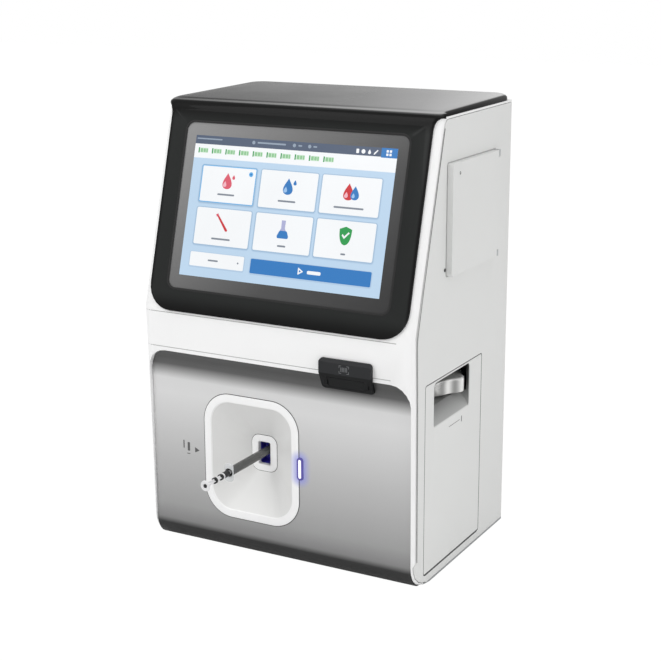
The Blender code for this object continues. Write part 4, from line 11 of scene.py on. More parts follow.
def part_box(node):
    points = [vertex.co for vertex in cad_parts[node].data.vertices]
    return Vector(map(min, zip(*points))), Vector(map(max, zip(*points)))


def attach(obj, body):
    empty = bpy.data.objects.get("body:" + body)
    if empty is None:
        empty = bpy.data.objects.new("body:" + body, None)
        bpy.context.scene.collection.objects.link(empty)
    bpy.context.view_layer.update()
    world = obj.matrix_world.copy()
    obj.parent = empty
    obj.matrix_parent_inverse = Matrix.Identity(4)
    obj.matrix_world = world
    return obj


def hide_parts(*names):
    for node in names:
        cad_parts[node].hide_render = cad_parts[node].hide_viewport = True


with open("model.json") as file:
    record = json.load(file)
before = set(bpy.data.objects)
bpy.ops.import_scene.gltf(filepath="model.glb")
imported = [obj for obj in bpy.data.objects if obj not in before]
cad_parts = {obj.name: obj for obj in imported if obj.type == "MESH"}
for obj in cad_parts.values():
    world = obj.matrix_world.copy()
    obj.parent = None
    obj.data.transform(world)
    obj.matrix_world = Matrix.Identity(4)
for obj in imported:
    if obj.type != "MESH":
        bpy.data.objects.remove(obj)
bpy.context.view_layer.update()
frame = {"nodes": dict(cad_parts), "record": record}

mm = 0.001
nodes = frame["nodes"]
bodyOf = {n: b for b, ns in frame["record"]["behaviour"]["bodies"].items() for n in ns}
slotOf = {s["node"]: s["material_slot"] for s in frame["record"]["subparts"]}


# camera, at the photograph's angle
cameraSet = {
    "place": (682.14 * mm, -1224.14 * mm, 583.36 * mm),
    "azimuth": 28.33,
    "elevation": 14.51,
    "roll": 0.10,
    "lens": 78.67,
    "sensor": 36.0,
    "shift": (-0.02753, -0.01467),
}


def makeCamera():
    data = bpy.data.cameras.new("camera")
    data.lens = cameraSet["lens"]
    data.sensor_width = cameraSet["sensor"]
    data.shift_x, data.shift_y = cameraSet["shift"]
    data.clip_start = 0.05
    data.clip_end = 50
    camera = bpy.data.objects.new("camera", data)
    turn = Matrix.Rotation(math.radians(cameraSet["azimuth"]), 4, "Z")
    tip = Matrix.Rotation(math.radians(90 - cameraSet["elevation"]), 4, "X")
    roll = Matrix.Rotation(math.radians(-cameraSet["roll"]), 4, "Z")
    camera.matrix_world = Matrix.Translation(cameraSet["place"]) @ turn @ tip @ roll
    bpy.context.scene.collection.objects.link(camera)
    bpy.context.scene.camera = camera


makeCamera()
print("camera set")


# shader maths: a Wire is one socket, and sums or products of Wires add Math nodes
class Wire:
    def __init__(self, look, socket):
        self.look = look
        self.socket = socket

    def __add__(self, other):
        return self.look.maths("ADD", self, other)

    def __sub__(self, other):
        return self.look.maths("SUBTRACT", self, other)

    def __rsub__(self, other):
        return self.look.maths("SUBTRACT", other, self)

    def __mul__(self, other):
        return self.look.maths("MULTIPLY", self, other)

    def __truediv__(self, other):
        return self.look.maths("DIVIDE", self, other)

    def __pow__(self, other):
        return self.look.maths("POWER", self, other)

    def __abs__(self):
        return self.look.maths("ABSOLUTE", self)

    __radd__ = __add__
    __rmul__ = __mul__


class Look:
    # one material and the nodes that feed its Principled shader
    def __init__(self, name):
        self.material = bpy.data.materials.new(name)
        self.material.use_nodes = True
        self.tree = self.material.node_tree
        self.shader = self.tree.nodes["Principled BSDF"]
        self.cached = {}

    def feed(self, socket, value):
        if isinstance(value, Wire):
            self.tree.links.new(value.socket, socket)
        elif isinstance(value, tuple) and len(value) == 3 and len(socket.default_value) == 4:
            socket.default_value = (*value, 1)
        else:
            socket.default_value = value

    def node(self, kind, settings=None, inputs=None, output=0):
        made = self.tree.nodes.new("ShaderNode" + kind)
        for key, value in (settings or {}).items():
            if key == "stops":
                self.setStops(made.color_ramp, value)
            else:
                setattr(made, key, value)
        for key, value in (inputs or {}).items():
            self.feed(made.inputs[key], value)
        return Wire(self, made.outputs[output])

    def setStops(self, ramp, stops):
        while len(ramp.elements) < len(stops):
            ramp.elements.new(1)
        for element, (at, colour) in zip(ramp.elements, stops):
            element.position = at
            element.color = (*colour, 1)

    def maths(self, operation, *values, clamp=False):
        settings = {"operation": operation, "use_clamp": clamp}
        return self.node("Math", settings, dict(enumerate(values)))

    def where(self, axis):
        # the piece's own place along an axis, in metres
        if "split" not in self.cached:
            place = self.node("TexCoord", output="Object")
            self.cached["place"] = place
            self.cached["split"] = self.node("SeparateXYZ", None, {0: place}).socket.node
        return Wire(self, self.cached["split"].outputs[axis])

    def place(self):
        self.where("X")
        return self.cached["place"]

    def noise(self, scale, detail=2.0, stretch=(1, 1, 1), roughness=0.5):
        at = self.place()
        if stretch != (1, 1, 1):
            at = self.node("Mapping", None, {"Vector": at, "Scale": stretch})
        inputs = {"Vector": at, "Scale": scale, "Detail": detail, "Roughness": roughness}
        return self.node("TexNoise", None, inputs)

    def step(self, value, low, high):
        # smooth ramp from 0 at low to 1 at high
        inputs = {"Value": value, "From Min": low, "From Max": high}
        return self.node("MapRange", {"interpolation_type": "SMOOTHSTEP"}, inputs)

    def mix(self, factor, first, second):
        return self.node("Mix", {"data_type": "RGBA"}, {0: factor, 6: first, 7: second}, 2)

    def ramp(self, value, stops):
        return self.node("ValToRGB", {"stops": stops}, {0: value})

    def bump(self, height, strength, distance):
        inputs = {"Height": height, "Strength": strength, "Distance": distance}
        return self.node("Bump", None, inputs)

    def set(self, **values):
        for key, value in values.items():
            self.feed(self.shader.inputs[key.replace("_", " ")], value)
        return self


def shade(colour, factor):
    return tuple(min(1.0, channel * factor) for channel in colour)


# finishes
def mouldedPlastic(name, colour, rough=0.38, grain=0.25, coat=0.0, size=1400.0):
    # fine spark-eroded grain, a faint drift of tone, and handling marks in the sheen
    look = Look(name)
    drift = look.noise(9.0, 3.0)
    marks = look.noise(60.0, 4.0, roughness=0.65)
    fine = look.noise(size, 2.0)
    tone = look.mix(drift, shade(colour, 0.975), shade(colour, 1.02))
    worn = look.mix(look.step(marks, 0.62, 0.80) * 0.25, tone, shade(colour, 0.93))
    look.set(Base_Color=worn, Roughness=rough + 0.10 * marks - 0.05,
             Normal=look.bump(fine, grain, 0.04 * mm), Coat_Weight=coat)
    return look.material


def sheetMetal(name, colour, rough=0.36, along="X", metallic=1.0, scratch=0.35):
    # fine lines drawn along one axis, with slow patches of duller metal
    look = Look(name)
    stretch = {"X": (2, 90, 90), "Y": (90, 2, 90), "Z": (90, 90, 2)}[along]
    lines = look.noise(26.0, 4.0, stretch)
    patches = look.noise(14.0, 3.0)
    tone = look.mix(lines, shade(colour, 0.86), shade(colour, 1.1))
    look.set(Base_Color=tone, Metallic=metallic, Roughness=rough + 0.16 * patches - 0.08,
             Normal=look.bump(lines, scratch, 0.02 * mm))
    return look.material


def turnedMetal(name, colour, rough=0.2):
    look = Look(name)
    rings = look.noise(30.0, 3.0, (60, 4, 60))
    look.set(Base_Color=look.mix(rings, shade(colour, 0.8), colour), Metallic=1.0,
             Roughness=rough + 0.1 * rings, Normal=look.bump(rings, 0.2, 0.01 * mm))
    return look.material


def softRubber(name, colour, rough=0.75):
    look = Look(name)
    dust = look.noise(220.0, 5.0, roughness=0.7)
    tone = look.mix(look.step(dust, 0.5, 0.8) * 0.4, colour, shade(colour, 2.2))
    look.set(Base_Color=tone, Roughness=rough + 0.1 * dust, Normal=look.bump(dust, 0.4, 0.05 * mm))
    return look.material


def clearPlastic(name, colour, alpha=0.45, rough=0.12):
    look = Look(name)
    flow = look.noise(120.0, 2.0, (1, 0.15, 1))
    look.set(Base_Color=look.mix(flow, shade(colour, 0.93), colour), Roughness=rough + 0.06 * flow,
             Alpha=alpha + 0.1 * flow, Normal=look.bump(flow, 0.2, 0.05 * mm))
    return look.material


def boardFinish(name):
    # green mask over thin copper lanes that run both ways
    look = Look(name)
    cell = 2.2 * mm
    lanes = []
    for axis in ("X", "Z"):
        across = look.maths("FRACT", look.where(axis) / cell)
        lanes.append(look.step(abs(across - 0.5), 0.10, 0.16))
    parts = look.step(look.noise(90.0, 0.0), 0.52, 0.54)
    lane = parts * (1 - lanes[0]) + (1 - parts) * (1 - lanes[1])
    tone = look.mix(lane * 0.8, (0.012, 0.11, 0.045), (0.03, 0.21, 0.09))
    look.set(Base_Color=tone, Roughness=0.35 + 0.2 * lane, Normal=look.bump(lane, 0.3, 0.03 * mm))
    return look.material


# the housing's own finishes, several of them with painted light and shade in their tone
shellSet = {
    "white": (0.93, 0.93, 0.93),
    "grey": (0.755, 0.76, 0.75),
    "panelRough": 0.36,
}
# painted reflection and shade on the fascia: its grey by share of the height
fasciaPaintedLight = {
    "foot": 0.0,
    "head": 201.0 * mm,
    "stops": (  # share of the height, then the grey of the painted reflection and shade there
        (0.000, 0.010), (0.085, 0.014), (0.115, 0.24), (0.20, 0.36), (0.50, 0.53), (0.78, 0.72),
        (0.855, 0.70), (0.895, 0.33), (0.925, 0.100), (0.965, 0.070), (1.0, 0.080),
    ),
}
hoodSet = {
    "face": (0.020, 0.0215, 0.021),
    # near black of the painted shade
    "band": (0.004, 0.004, 0.004),
    "shadeFoot": 243.0 * mm,
    "shadeHead": 262.0 * mm,
    "crest": 437.0 * mm,
    "corner": (-148.0 * mm, -113.0 * mm),
    "span": (296.0 * mm, 219.0 * mm),
    # painted reflection on the top plate: share across it, then its grey
    "plate": ((0.0, 0.006), (0.22, 0.022), (0.42, 0.060), (0.60, 0.13), (0.78, 0.26), (0.93, 0.46), (1.0, 0.62)),
    "edge": (136.0 * mm, 139.5 * mm),  # where painted shade turns the face and then the plate black at the sides
    "plateShadeEdge": (144.3 * mm, 146.3 * mm),
    "line": 440.6 * mm,
    "shine": 0.06,
    "front": -49.0 * mm,
}
glowSet = {
    "lamp": (24.95 * mm, 101.35 * mm),
    "half": 8.0 * mm,  # half the lit line's length
    "near": 2.5 * mm,
    "far": 13.0 * mm,
    "tint": (0.34, 0.36, 0.80),
}
# painted reflection on the glass border: its span and its greys
glassReflectionSet = {
    "half": 119.7 * mm, "foot": 264.0 * mm, "head": 420.0 * mm,
    "stops": ((0.0, 0.29), (0.35, 0.16), (0.65, 0.060), (1.0, 0.020)),
}
portSet = {
    "middle": (-29.75 * mm, 100.9 * mm), "size": (106.7 * mm, 126.6 * mm), "round": 30.0 * mm,
    "rim": 7.8 * mm, "face": 104.1 * mm,
    "mouth": (-29.0 * mm, 100.9 * mm), "mouthSize": (28.5 * mm, 37.0 * mm), "mouthRound": 8.5 * mm,
    "deep": 79.6 * mm, "wall": 2.2 * mm, "lip": 4.0 * mm,
    "hole": (13.5 * mm, 23.5 * mm), "holeRound": 1.5 * mm,
    "insertFace": 80.7 * mm, "insertBack": 75.7 * mm,
    # the dish tone is the rim's white with painted shade
    "rimTone": (0.95, 0.95, 0.95), "dishShadeTone": (0.77, 0.77, 0.76),
}
inkSet = {
    "glow": 0.78,
    "pitch": 0.34 * mm,
    "tones": {
        "inkPale": (0.52, 0.69, 0.87), "inkSlate": (0.075, 0.105, 0.17), "inkWhite": (0.93, 0.95, 0.97),
        "inkBlue": (0.022, 0.19, 0.53), "inkMist": (0.30, 0.37, 0.46), "inkGreen": (0.015, 0.33, 0.07),
        "inkLeaf": (0.28, 0.58, 0.30), "inkHaze": (0.44, 0.60, 0.78), "inkShade": (0.34, 0.50, 0.68),
        "inkSky": (0.10, 0.42, 0.80), "inkRose": (0.72, 0.10, 0.15), "inkRed": (0.62, 0.025, 0.035),
        "inkGleam": (0.90, 0.48, 0.55), "inkDew": (0.34, 0.56, 0.86), "inkLilac": (0.42, 0.44, 0.68),
        "inkGrey": (0.22, 0.25, 0.30), "inkMint": (0.60, 0.80, 0.62),
    },
}


def lampTint(look, tone):
    # the status light's glow on what is round it, by distance from its lit line
    across = look.where("X") - glowSet["lamp"][0]
    up = look.maths("MAXIMUM", abs(look.where("Z") - glowSet["lamp"][1]) - glowSet["half"], 0.0)
    away = look.maths("SQRT", across * across + up * up)
    fall = 1 - look.step(away, glowSet["near"], glowSet["far"])
    return look.mix(0.8 * fall, tone, glowSet["tint"])


def fasciaSatinAndPaintedLight():
    # satin sheet whose tone is a painted reflection and shade that follows its bends by height, over long drawn lines
    look = Look("fasciaSatinAndPaintedLight")
    up = (look.where("Z") - fasciaPaintedLight["foot"]) / (fasciaPaintedLight["head"] - fasciaPaintedLight["foot"])
    tone = look.ramp(up, [(at, (grey, grey, grey)) for at, grey in fasciaPaintedLight["stops"]])
    lines = look.noise(24.0, 4.0, (1, 60, 60))
    cloud = look.noise(5.0, 2.0)
    drawn = look.mix(0.04 * lines + 0.03 * cloud, tone, (0.8, 0.8, 0.8))
    look.set(Base_Color=lampTint(look, drawn), Metallic=0.30, Roughness=0.34 + 0.08 * lines, Specular_IOR_Level=0.2,
             Normal=look.bump(lines, 0.15, 0.02 * mm))
    return look.material


def portWithPaintedShade():
    # bright rim, with painted shade making the dish behind it greyer
    look = Look("portPlastic")
    depth = look.step(look.where("Y"), 0.6 * mm - portSet["face"], 1.2 * mm - portSet["face"])
    cloud = look.noise(16.0, 3.0)
    fine = look.noise(1500.0, 2.0)
    # painted shade: the dish greyer than the rim by its depth
    tone = look.mix(depth, portSet["rimTone"], portSet["dishShadeTone"])
    tone = look.mix(0.06 * cloud, tone, (0.55, 0.55, 0.56))
    look.set(Base_Color=lampTint(look, tone), Roughness=0.30 + 0.10 * cloud,
             Normal=look.bump(fine, 0.10, 0.03 * mm))
    return look.material


def hoodToneAndPaintedLight():
    # charcoal moulding, with painted shade making it black along its curved foot, under the crest and at the sides, and
    # a painted reflection paling the top plate toward the right and rear
    look = Look("hoodToneAndPaintedLight")
    foot = 1 - look.step(look.where("Z"), hoodSet["shadeFoot"], hoodSet["shadeHead"])
    crest = look.step(look.where("Z"), hoodSet["crest"] - 16 * mm, hoodSet["crest"] - 4 * mm)
    onTop = look.step(look.where("Z"), hoodSet["crest"] + 1 * mm, hoodSet["crest"] + 5 * mm)
    sides = look.step(abs(look.where("X")), *hoodSet["edge"])
    # painted shade: black on the curved foot, at the sides and under the crest
    dark = look.maths("ADD", look.maths("MAXIMUM", foot, sides), crest - onTop, clamp=True)
    smear = look.noise(30.0, 4.0, roughness=0.6)
    tone = look.mix(dark, hoodSet["face"], hoodSet["band"])
    tone = look.mix(0.06 * smear, tone, (0.06, 0.06, 0.06))
    # painted reflection paling the top plate toward the right and rear
    across = (look.where("X") - hoodSet["corner"][0]) / hoodSet["span"][0]
    back = (look.where("Y") - hoodSet["corner"][1]) / hoodSet["span"][1]
    plate = look.ramp(0.80 * across + 0.20 * back, [(at, (g, g, g)) for at, g in hoodSet["plate"]])
    # painted shade on the plate's sides
    plateSideShade = look.step(look.where("X"), *hoodSet["plateShadeEdge"])
    tone = look.mix(onTop, tone, look.mix(plateSideShade, plate, hoodSet["band"]))
    # the crest catches a thin line of light along the front
    near = 1 - look.step(abs(look.where("Z") - hoodSet["line"]), 0.3 * mm, 1.1 * mm)
    front = 1 - look.step(look.where("Y"), hoodSet["front"], hoodSet["front"] + 2 * mm)
    tone = look.mix(near * front * (0.25 + 0.6 * across), tone, (0.40, 0.40, 0.40))
    fine = look.noise(1600.0, 1.0)
    look.set(Base_Color=tone, Roughness=0.30 + 0.12 * smear - 0.12 * onTop,
             Specular_IOR_Level=hoodSet["shine"], Normal=look.bump(fine, 0.12, 0.03 * mm),
             Coat_Weight=0.08 + 0.06 * onTop)
    return look.material


def glassWithPaintedReflection():
    # black-backed glass with a painted reflection that pales its border toward its upper left
    look = Look("borderGlass")
    across = (look.where("X") + glassReflectionSet["half"]) / (2 * glassReflectionSet["half"])
    down = (glassReflectionSet["head"] - look.where("Z")) / (glassReflectionSet["head"] - glassReflectionSet["foot"])
    tone = look.ramp(0.6 * across + 0.4 * down, [(at, (g, g, g)) for at, g in glassReflectionSet["stops"]])
    smear = look.noise(24.0, 4.0, roughness=0.6)
    look.set(Base_Color=look.mix(0.10 * smear, tone, (0.10, 0.10, 0.11)), Roughness=0.12 + 0.10 * smear)
    return look.material


def ink(name, colour):
    # a lit tone crossed by the display's fine rows, over a dull face
    look = Look(name)
    rows = look.maths("SINE", look.where("Z") * (2 * math.pi / inkSet["pitch"]))
    drift = look.noise(14.0, 2.0)
    lit = look.mix(0.4 + 0.3 * rows + 0.2 * drift, shade(colour, 0.95), shade(colour, 1.03))
    look.set(Base_Color=look.mix(drift, shade(colour, 0.16), shade(colour, 0.22)), Emission_Color=lit,
             Emission_Strength=inkSet["glow"], Roughness=0.22 + 0.06 * drift)
    return look.material


def litPlastic(name, colour, glow):
    # a light pipe, brighter toward the middle of its length
    look = Look(name)
    up = abs(look.where("Z") - glowSet["lamp"][1]) / (1.5 * glowSet["half"])
    cloud = look.noise(200.0, 2.0)
    lit = look.mix(0.7 * up + 0.1 * cloud, colour, shade(colour, 0.8))
    look.set(Base_Color=shade(colour, 0.4), Emission_Color=lit, Emission_Strength=glow,
             Roughness=0.25 + 0.1 * cloud)
    return look.material


# the lower grey is dark plastic with painted shade under the chin
podToneAndShade = {"upper": (0.024, 0.025, 0.027), "lower": (0.008, 0.0085, 0.009), "edge": 204.7 * mm}
recessSet = {"dark": (0.035, 0.037, 0.036), "pale": (0.42, 0.425, 0.42), "low": 149.0 * mm, "high": 178.0 * mm,
             "deep": 147.2 * mm, "lip": 148.1 * mm}
capSet = {"middle": (113.0 * mm, 4.0 * mm), "lobes": 6, "top": 181.0 * mm, "tone": (0.93, 0.93, 0.91),
          # radius, lobe height and z of each ring, in mm
          "levels": ((22.6, 0.0, 176.6), (22.6, 0.0, 167.5), (23.1, 0.0, 167.0), (29.2, 2.2, 167.0), (29.9, 2.35, 167.2),
                     (30.2, 2.4, 167.9), (30.2, 2.4, 179.1), (30.0, 2.4, 180.2), (29.3, 2.3, 181.1), (28.3, 2.2, 181.5),
                     (27.4, 2.0, 181.5), (9.0, 0.0, 181.5), (8.3, 0.0, 181.8), (8.0, 0.0, 182.5), (8.0, 0.0, 183.9),
                     (7.8, 0.0, 184.35), (7.3, 0.0, 184.5), (4.5, 0.0, 184.5), (4.1, 0.0, 184.3), (4.0, 0.0, 183.9),
                     (4.0, 0.0, 183.0))}


def podWithPaintedShade():
    # charcoal above its edge, near black on the slanted part below: dark plastic deepened by painted shade under the
    # chin
    look = Look("podPlastic")
    upper = look.step(look.where("Z"), podToneAndShade["edge"] - 0.4 * mm, podToneAndShade["edge"] + 0.2 * mm)
    marks = look.noise(60.0, 4.0, roughness=0.65)
    tone = look.mix(0.06 * marks, look.mix(upper, podToneAndShade["lower"], podToneAndShade["upper"]), (0.08, 0.08, 0.08))
    look.set(Base_Color=tone, Specular_IOR_Level=0.15, Roughness=0.50 - 0.15 * upper + 0.1 * marks,
             Normal=look.bump(look.noise(1400.0, 2.0), 0.3, 0.04 * mm))
    return look.material


def drawerFinish():
    # the door's grey, sinking to shadow inside its finger recess
    look = Look("drawerShell")
    drift = look.noise(9.0, 3.0)
    lit = look.step(look.where("X"), recessSet["deep"], recessSet["lip"])
    inner = look.mix(look.step(look.where("Z"), recessSet["low"], recessSet["high"]), recessSet["pale"],
                     recessSet["dark"])
    tone = look.mix(drift, shade(shellSet["grey"], 0.975), shade(shellSet["grey"], 1.02))
    look.set(Base_Color=look.mix(lit, inner, tone), Roughness=shellSet["panelRough"] + 0.05 * drift,
             Normal=look.bump(look.noise(1400.0, 2.0), 0.3, 0.04 * mm))
    return look.material


def silverCap():
    # silvery moulded cap with a soft sheen, and painted highlights on its lobes with painted shade in the valleys
    # between them, its top kept pale
    look = Look("silverCap")
    cloud = look.noise(40.0, 3.0)
    turn = look.maths("ARCTAN2", look.where("Y") - capSet["middle"][1], look.where("X") - capSet["middle"][0])
    # painted highlights on the lobes and painted shade between them, round the cap
    lobeLightAndShade = 0.5 + 0.5 * look.maths("COSINE", turn * (2 * capSet["lobes"]) + 0.6)
    onTop = look.step(look.where("Z"), capSet["top"] - 1 * mm, capSet["top"])
    tone = look.mix(look.maths("MAXIMUM", lobeLightAndShade, onTop), shade(capSet["tone"], 0.34), capSet["tone"])
    look.set(Base_Color=look.mix(0.12 * cloud, tone, (0.6, 0.6, 0.6)), Metallic=0.35,
             Roughness=0.22 + 0.10 * cloud, Coat_Weight=0.3, Normal=look.bump(cloud, 0.05, 0.1 * mm))
    return look.material


looks = {
    "whiteShell": mouldedPlastic("whiteShell", shellSet["white"], shellSet["panelRough"], 0.15),
    "greyShell": mouldedPlastic("greyShell", shellSet["grey"], shellSet["panelRough"], 0.30),
    "fascia": fasciaSatinAndPaintedLight(),
    "hood": hoodToneAndPaintedLight(),
    "glass": glassWithPaintedReflection(),
    "port": portWithPaintedShade(),
    "portWhite": mouldedPlastic("insertPlastic", portSet["rimTone"], 0.33, 0.12),
    "navy": mouldedPlastic("navyBlock", (0.035, 0.028, 0.36), 0.3, 0.2),
    "black": mouldedPlastic("blackPlastic", (0.012, 0.012, 0.013), 0.42, 0.35),
    "dark": mouldedPlastic("darkPlastic", (0.035, 0.037, 0.042), 0.45, 0.35),
    "pod": podWithPaintedShade(),
    "drawerShell": drawerFinish(),
    "fineLine": mouldedPlastic("fineLine", (0.44, 0.445, 0.44), 0.5, 0.2),
    "seam": mouldedPlastic("seamShadow", (0.055, 0.057, 0.057), 0.6, 0.2),
    "mark": mouldedPlastic("printedGrey", (0.10, 0.10, 0.10), 0.5, 0.2),
    "faint": mouldedPlastic("faintPrint", (0.14, 0.145, 0.15), 0.5, 0.2),
    "pale": mouldedPlastic("palePlastic", (0.68, 0.68, 0.70), 0.42, 0.2),
    "tray": mouldedPlastic("trayPlastic", (0.55, 0.56, 0.58), 0.42, 0.25),
    "cap": silverCap(),
    "blue": mouldedPlastic("bluePlastic", (0.05, 0.13, 0.34), 0.35, 0.2),
    "steel": sheetMetal("sheetSteel", (0.55, 0.56, 0.57)),
    "ground": turnedMetal("groundSteel", (0.62, 0.62, 0.63)),
    "can": sheetMetal("motorCan", (0.36, 0.37, 0.38), 0.4, "Y"),
    "pan": mouldedPlastic("coatedPan", (0.34, 0.35, 0.36), 0.5, 0.5),
    "rubber": softRubber("blackRubber", (0.012, 0.012, 0.012)),
    "hose": clearPlastic("pumpHose", (0.75, 0.68, 0.58), 0.8, 0.3),
    "clear": clearPlastic("clearPlastic", (0.82, 0.84, 0.85), 0.6),
    "smoked": clearPlastic("smokedPlastic", (0.095, 0.097, 0.095), 0.88, 0.22),
    "rod": mouldedPlastic("rodPlastic", (0.78, 0.78, 0.79), 0.3, 0.1, 0.3),
    "board": boardFinish("circuitBoard"),
    "lampCore": litPlastic("lampCore", (0.95, 0.96, 1.0), 1.0),
    "lampRing": litPlastic("lampRing", (0.090, 0.075, 0.33), 0.75),
}
for name, tone in inkSet["tones"].items():
    looks[name] = ink(name, tone)
nodeLook = {
    "front_frame": "whiteShell", "side_panel_left": "greyShell", "side_panel_right": "greyShell",
    "drawer_front": "drawerShell", "side_cover": "greyShell", "rear_panel": "greyShell",
    "screen_hood": "hood", "fascia": "fascia", "port_panel": "port", "port_insert": "portWhite",
    "inlet_block": "navy", "inlet_seal": "rubber", "scanner_pod": "pod", "scanner_window": "pod",
    "syringe_barrel": "smoked", "plunger_rod": "rod", "plunger_seal": "rubber",
    "status_light": "lampRing", "touch_glass": "glass", "lcd_module": "can", "display_bracket": "steel",
    "probe_frame": "steel", "guide_rod": "ground", "probe_screw": "ground", "probe_needle": "ground",
    "probe_motor": "black", "probe_carriage": "pale", "cover_hinge_pin": "ground",
    "cover_hinge_leaf": "steel", "drawer_bay": "steel", "runner_front": "steel", "runner_rear": "steel",
    "drawer_tray": "steel", "waste_tank": "pale", "tank_gasket": "rubber", "tank_cap": "cap",
    "reagent_pack": "pale", "service_tray": "tray", "pump_housing": "dark", "pump_rotor": "tray",
    "pump_roller_1": "pale", "pump_roller_2": "pale", "pump_roller_3": "pale", "pump_motor": "can",
    "pump_tube": "hose", "sensor_cartridge": "blue", "mid_shelf": "steel", "divider_wall": "steel",
    "mainboard": "board", "io_block": "can", "power_supply": "can", "fan_frame": "black",
    "fan_rotor": "black", "power_inlet": "black", "power_rocker": "black", "base_pan": "pan",
    "foot_front_left": "rubber", "foot_front_right": "rubber", "foot_rear_left": "rubber",
    "foot_rear_right": "rubber",
}
for name, lookName in nodeLook.items():
    nodes[name].data.materials.clear()
    nodes[name].data.materials.append(looks[lookName])
print("finishes made:", len(looks))


# meshes
def newPiece(name, mesh, body, slot, *materials, stands=()):
    piece = bpy.data.objects.new(name, mesh)
    bpy.context.scene.collection.objects.link(piece)
    for material in materials:
        mesh.materials.append(material)
    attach(piece, body)
    if stands:
        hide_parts(*stands)
    return piece


def smooth(mesh, degrees=35):
    mesh.shade_smooth()
    mesh.set_sharp_from_angle(angle=math.radians(degrees))


def dressed(node, name, edge=0.35 * mm, segments=2, degrees=35):
    # the CAD node's form with its doubles merged, its edges eased and its bends shaded smooth
    bm = bmesh.new()
    bm.from_mesh(nodes[node].data)
    bmesh.ops.remove_doubles(bm, verts=bm.verts, dist=0.01 * mm)
    bmesh.ops.dissolve_limit(bm, angle_limit=math.radians(0.3), verts=bm.verts, edges=bm.edges)
    mesh = bpy.data.meshes.new(name)
    bm.to_mesh(mesh)
    bm.free()
    smooth(mesh, degrees)
    piece = newPiece(name, mesh, bodyOf[node], slotOf[node], looks[nodeLook[node]], stands=[node])
    if edge:
        bevel = piece.modifiers.new("edge", "BEVEL")
        bevel.width = edge
        bevel.segments = segments
        bevel.limit_method = "ANGLE"
        bevel.angle_limit = math.radians(degrees)
        bevel.harden_normals = True
    return piece


dressedNodes = {
    "front_frame": "whiteFrame", "side_panel_left": "leftPanel", "side_panel_right": "rightPanel",
    "drawer_front": "drawerFront", "side_cover": "sideCover", "rear_panel": "rearPanel",
    "screen_hood": "screenHood", "fascia": "satinSheet", "scanner_pod": "scannerPod",
    "inlet_block": "inletBlock", "power_inlet": "powerInlet", "power_rocker": "powerRocker",
    "pump_housing": "pumpHousing", "sensor_cartridge": "sensorCartridge", "service_tray": "serviceTray",
    "waste_tank": "wasteTank", "drawer_tray": "drawerTray", "base_pan": "basePan",
    "fan_frame": "fanFrame", "io_block": "portBlock", "reagent_pack": "reagentPack",
}
for node, name in dressedNodes.items():
    dressed(node, name)
print("dressed pieces:", len(dressedNodes))


# surfaces: each part is a pair of its points and its faces, and one mesh may hold many parts
def gridPart(points, wrapRows=False, wrapColumns=True, caps=(False, False)):
    # points[i, j] is a function of two parameters on a grid; four neighbours make a face
    rows, columns = points.shape[:2]
    i, j = np.meshgrid(np.arange(rows if wrapRows else rows - 1),
                       np.arange(columns if wrapColumns else columns - 1), indexing="ij")
    down, over = (i + 1) % rows, (j + 1) % columns
    cells = np.stack([i * columns + j, down * columns + j, down * columns + over, i * columns + over], -1)
    faces = [cells.reshape(-1, 4)]
    if caps[0]:
        faces.append(np.arange(columns)[None, :])
    if caps[1]:
        faces.append((rows - 1) * columns + np.arange(columns)[None, ::-1])
    return points.reshape(-1, 3), faces


def buildMesh(name, parts, degrees=35):
    starts = np.cumsum([0] + [len(points) for points, _ in parts])
    faces = []
    for start, (_, groups) in zip(starts, parts):
        for group in groups:
            faces += (group + start).tolist()
    mesh = bpy.data.meshes.new(name)
    mesh.from_pydata(np.concatenate([points for points, _ in parts]), [], faces)
    bm = bmesh.new()
    bm.from_mesh(mesh)
    bmesh.ops.recalc_face_normals(bm, faces=bm.faces)
    bm.to_mesh(mesh)
    bm.free()
    smooth(mesh, degrees)
    return mesh


def addPiece(name, parts, like, look, stands=(), degrees=35):
    # a new piece that rides as a CAD node does
    mesh = buildMesh(name, parts, degrees)
    return newPiece(name, mesh, bodyOf[like], slotOf[like], looks[look], stands=stands)


def easeCorners(points, reach, steps=4, closed=True):
    # each corner gives way to a curve (1-t)^2 A + 2t(1-t) P + t^2 B between points near it
    points = np.array(points, float)
    before, after = np.roll(points, 1, 0), np.roll(points, -1, 0)
    if not closed:
        before[0], after[-1] = points[0], points[-1]
    t = np.linspace(0, 1, steps)[None, :, None]

    def near(other):
        gap = other - points
        span = np.linalg.norm(gap, axis=1, keepdims=True)
        return points + gap * np.minimum(reach, span * 0.45) / np.maximum(span, 1e-9)

    start, end = near(before)[:, None], near(after)[:, None]
    eased = (1 - t) ** 2 * start + 2 * t * (1 - t) * points[:, None] + t ** 2 * end
    return eased.reshape(-1, 2)


def roundRect(centre, size, radius, grow=0.0, steps=10):
    # four quarter arcs, each centred a radius in from its corner, all widened by grow
    angle = np.linspace(0, math.pi / 2, steps)
    turn = (angle[None, :] + np.arange(4)[:, None] * math.pi / 2).ravel()
    sideways = np.repeat([1, -1, -1, 1], steps) * (size[0] / 2 - radius)
    upwards = np.repeat([1, 1, -1, -1], steps) * (size[1] / 2 - radius)
    reach = max(radius + grow, 0.0)
    return np.stack([centre[0] + sideways + reach * np.cos(turn), centre[1] + upwards + reach * np.sin(turn)], 1)


def ring(centre, radius, steps=48):
    angle = np.linspace(0, 2 * math.pi, steps, endpoint=False)
    return np.stack([centre[0] + radius * np.cos(angle), centre[1] + radius * np.sin(angle)], 1)


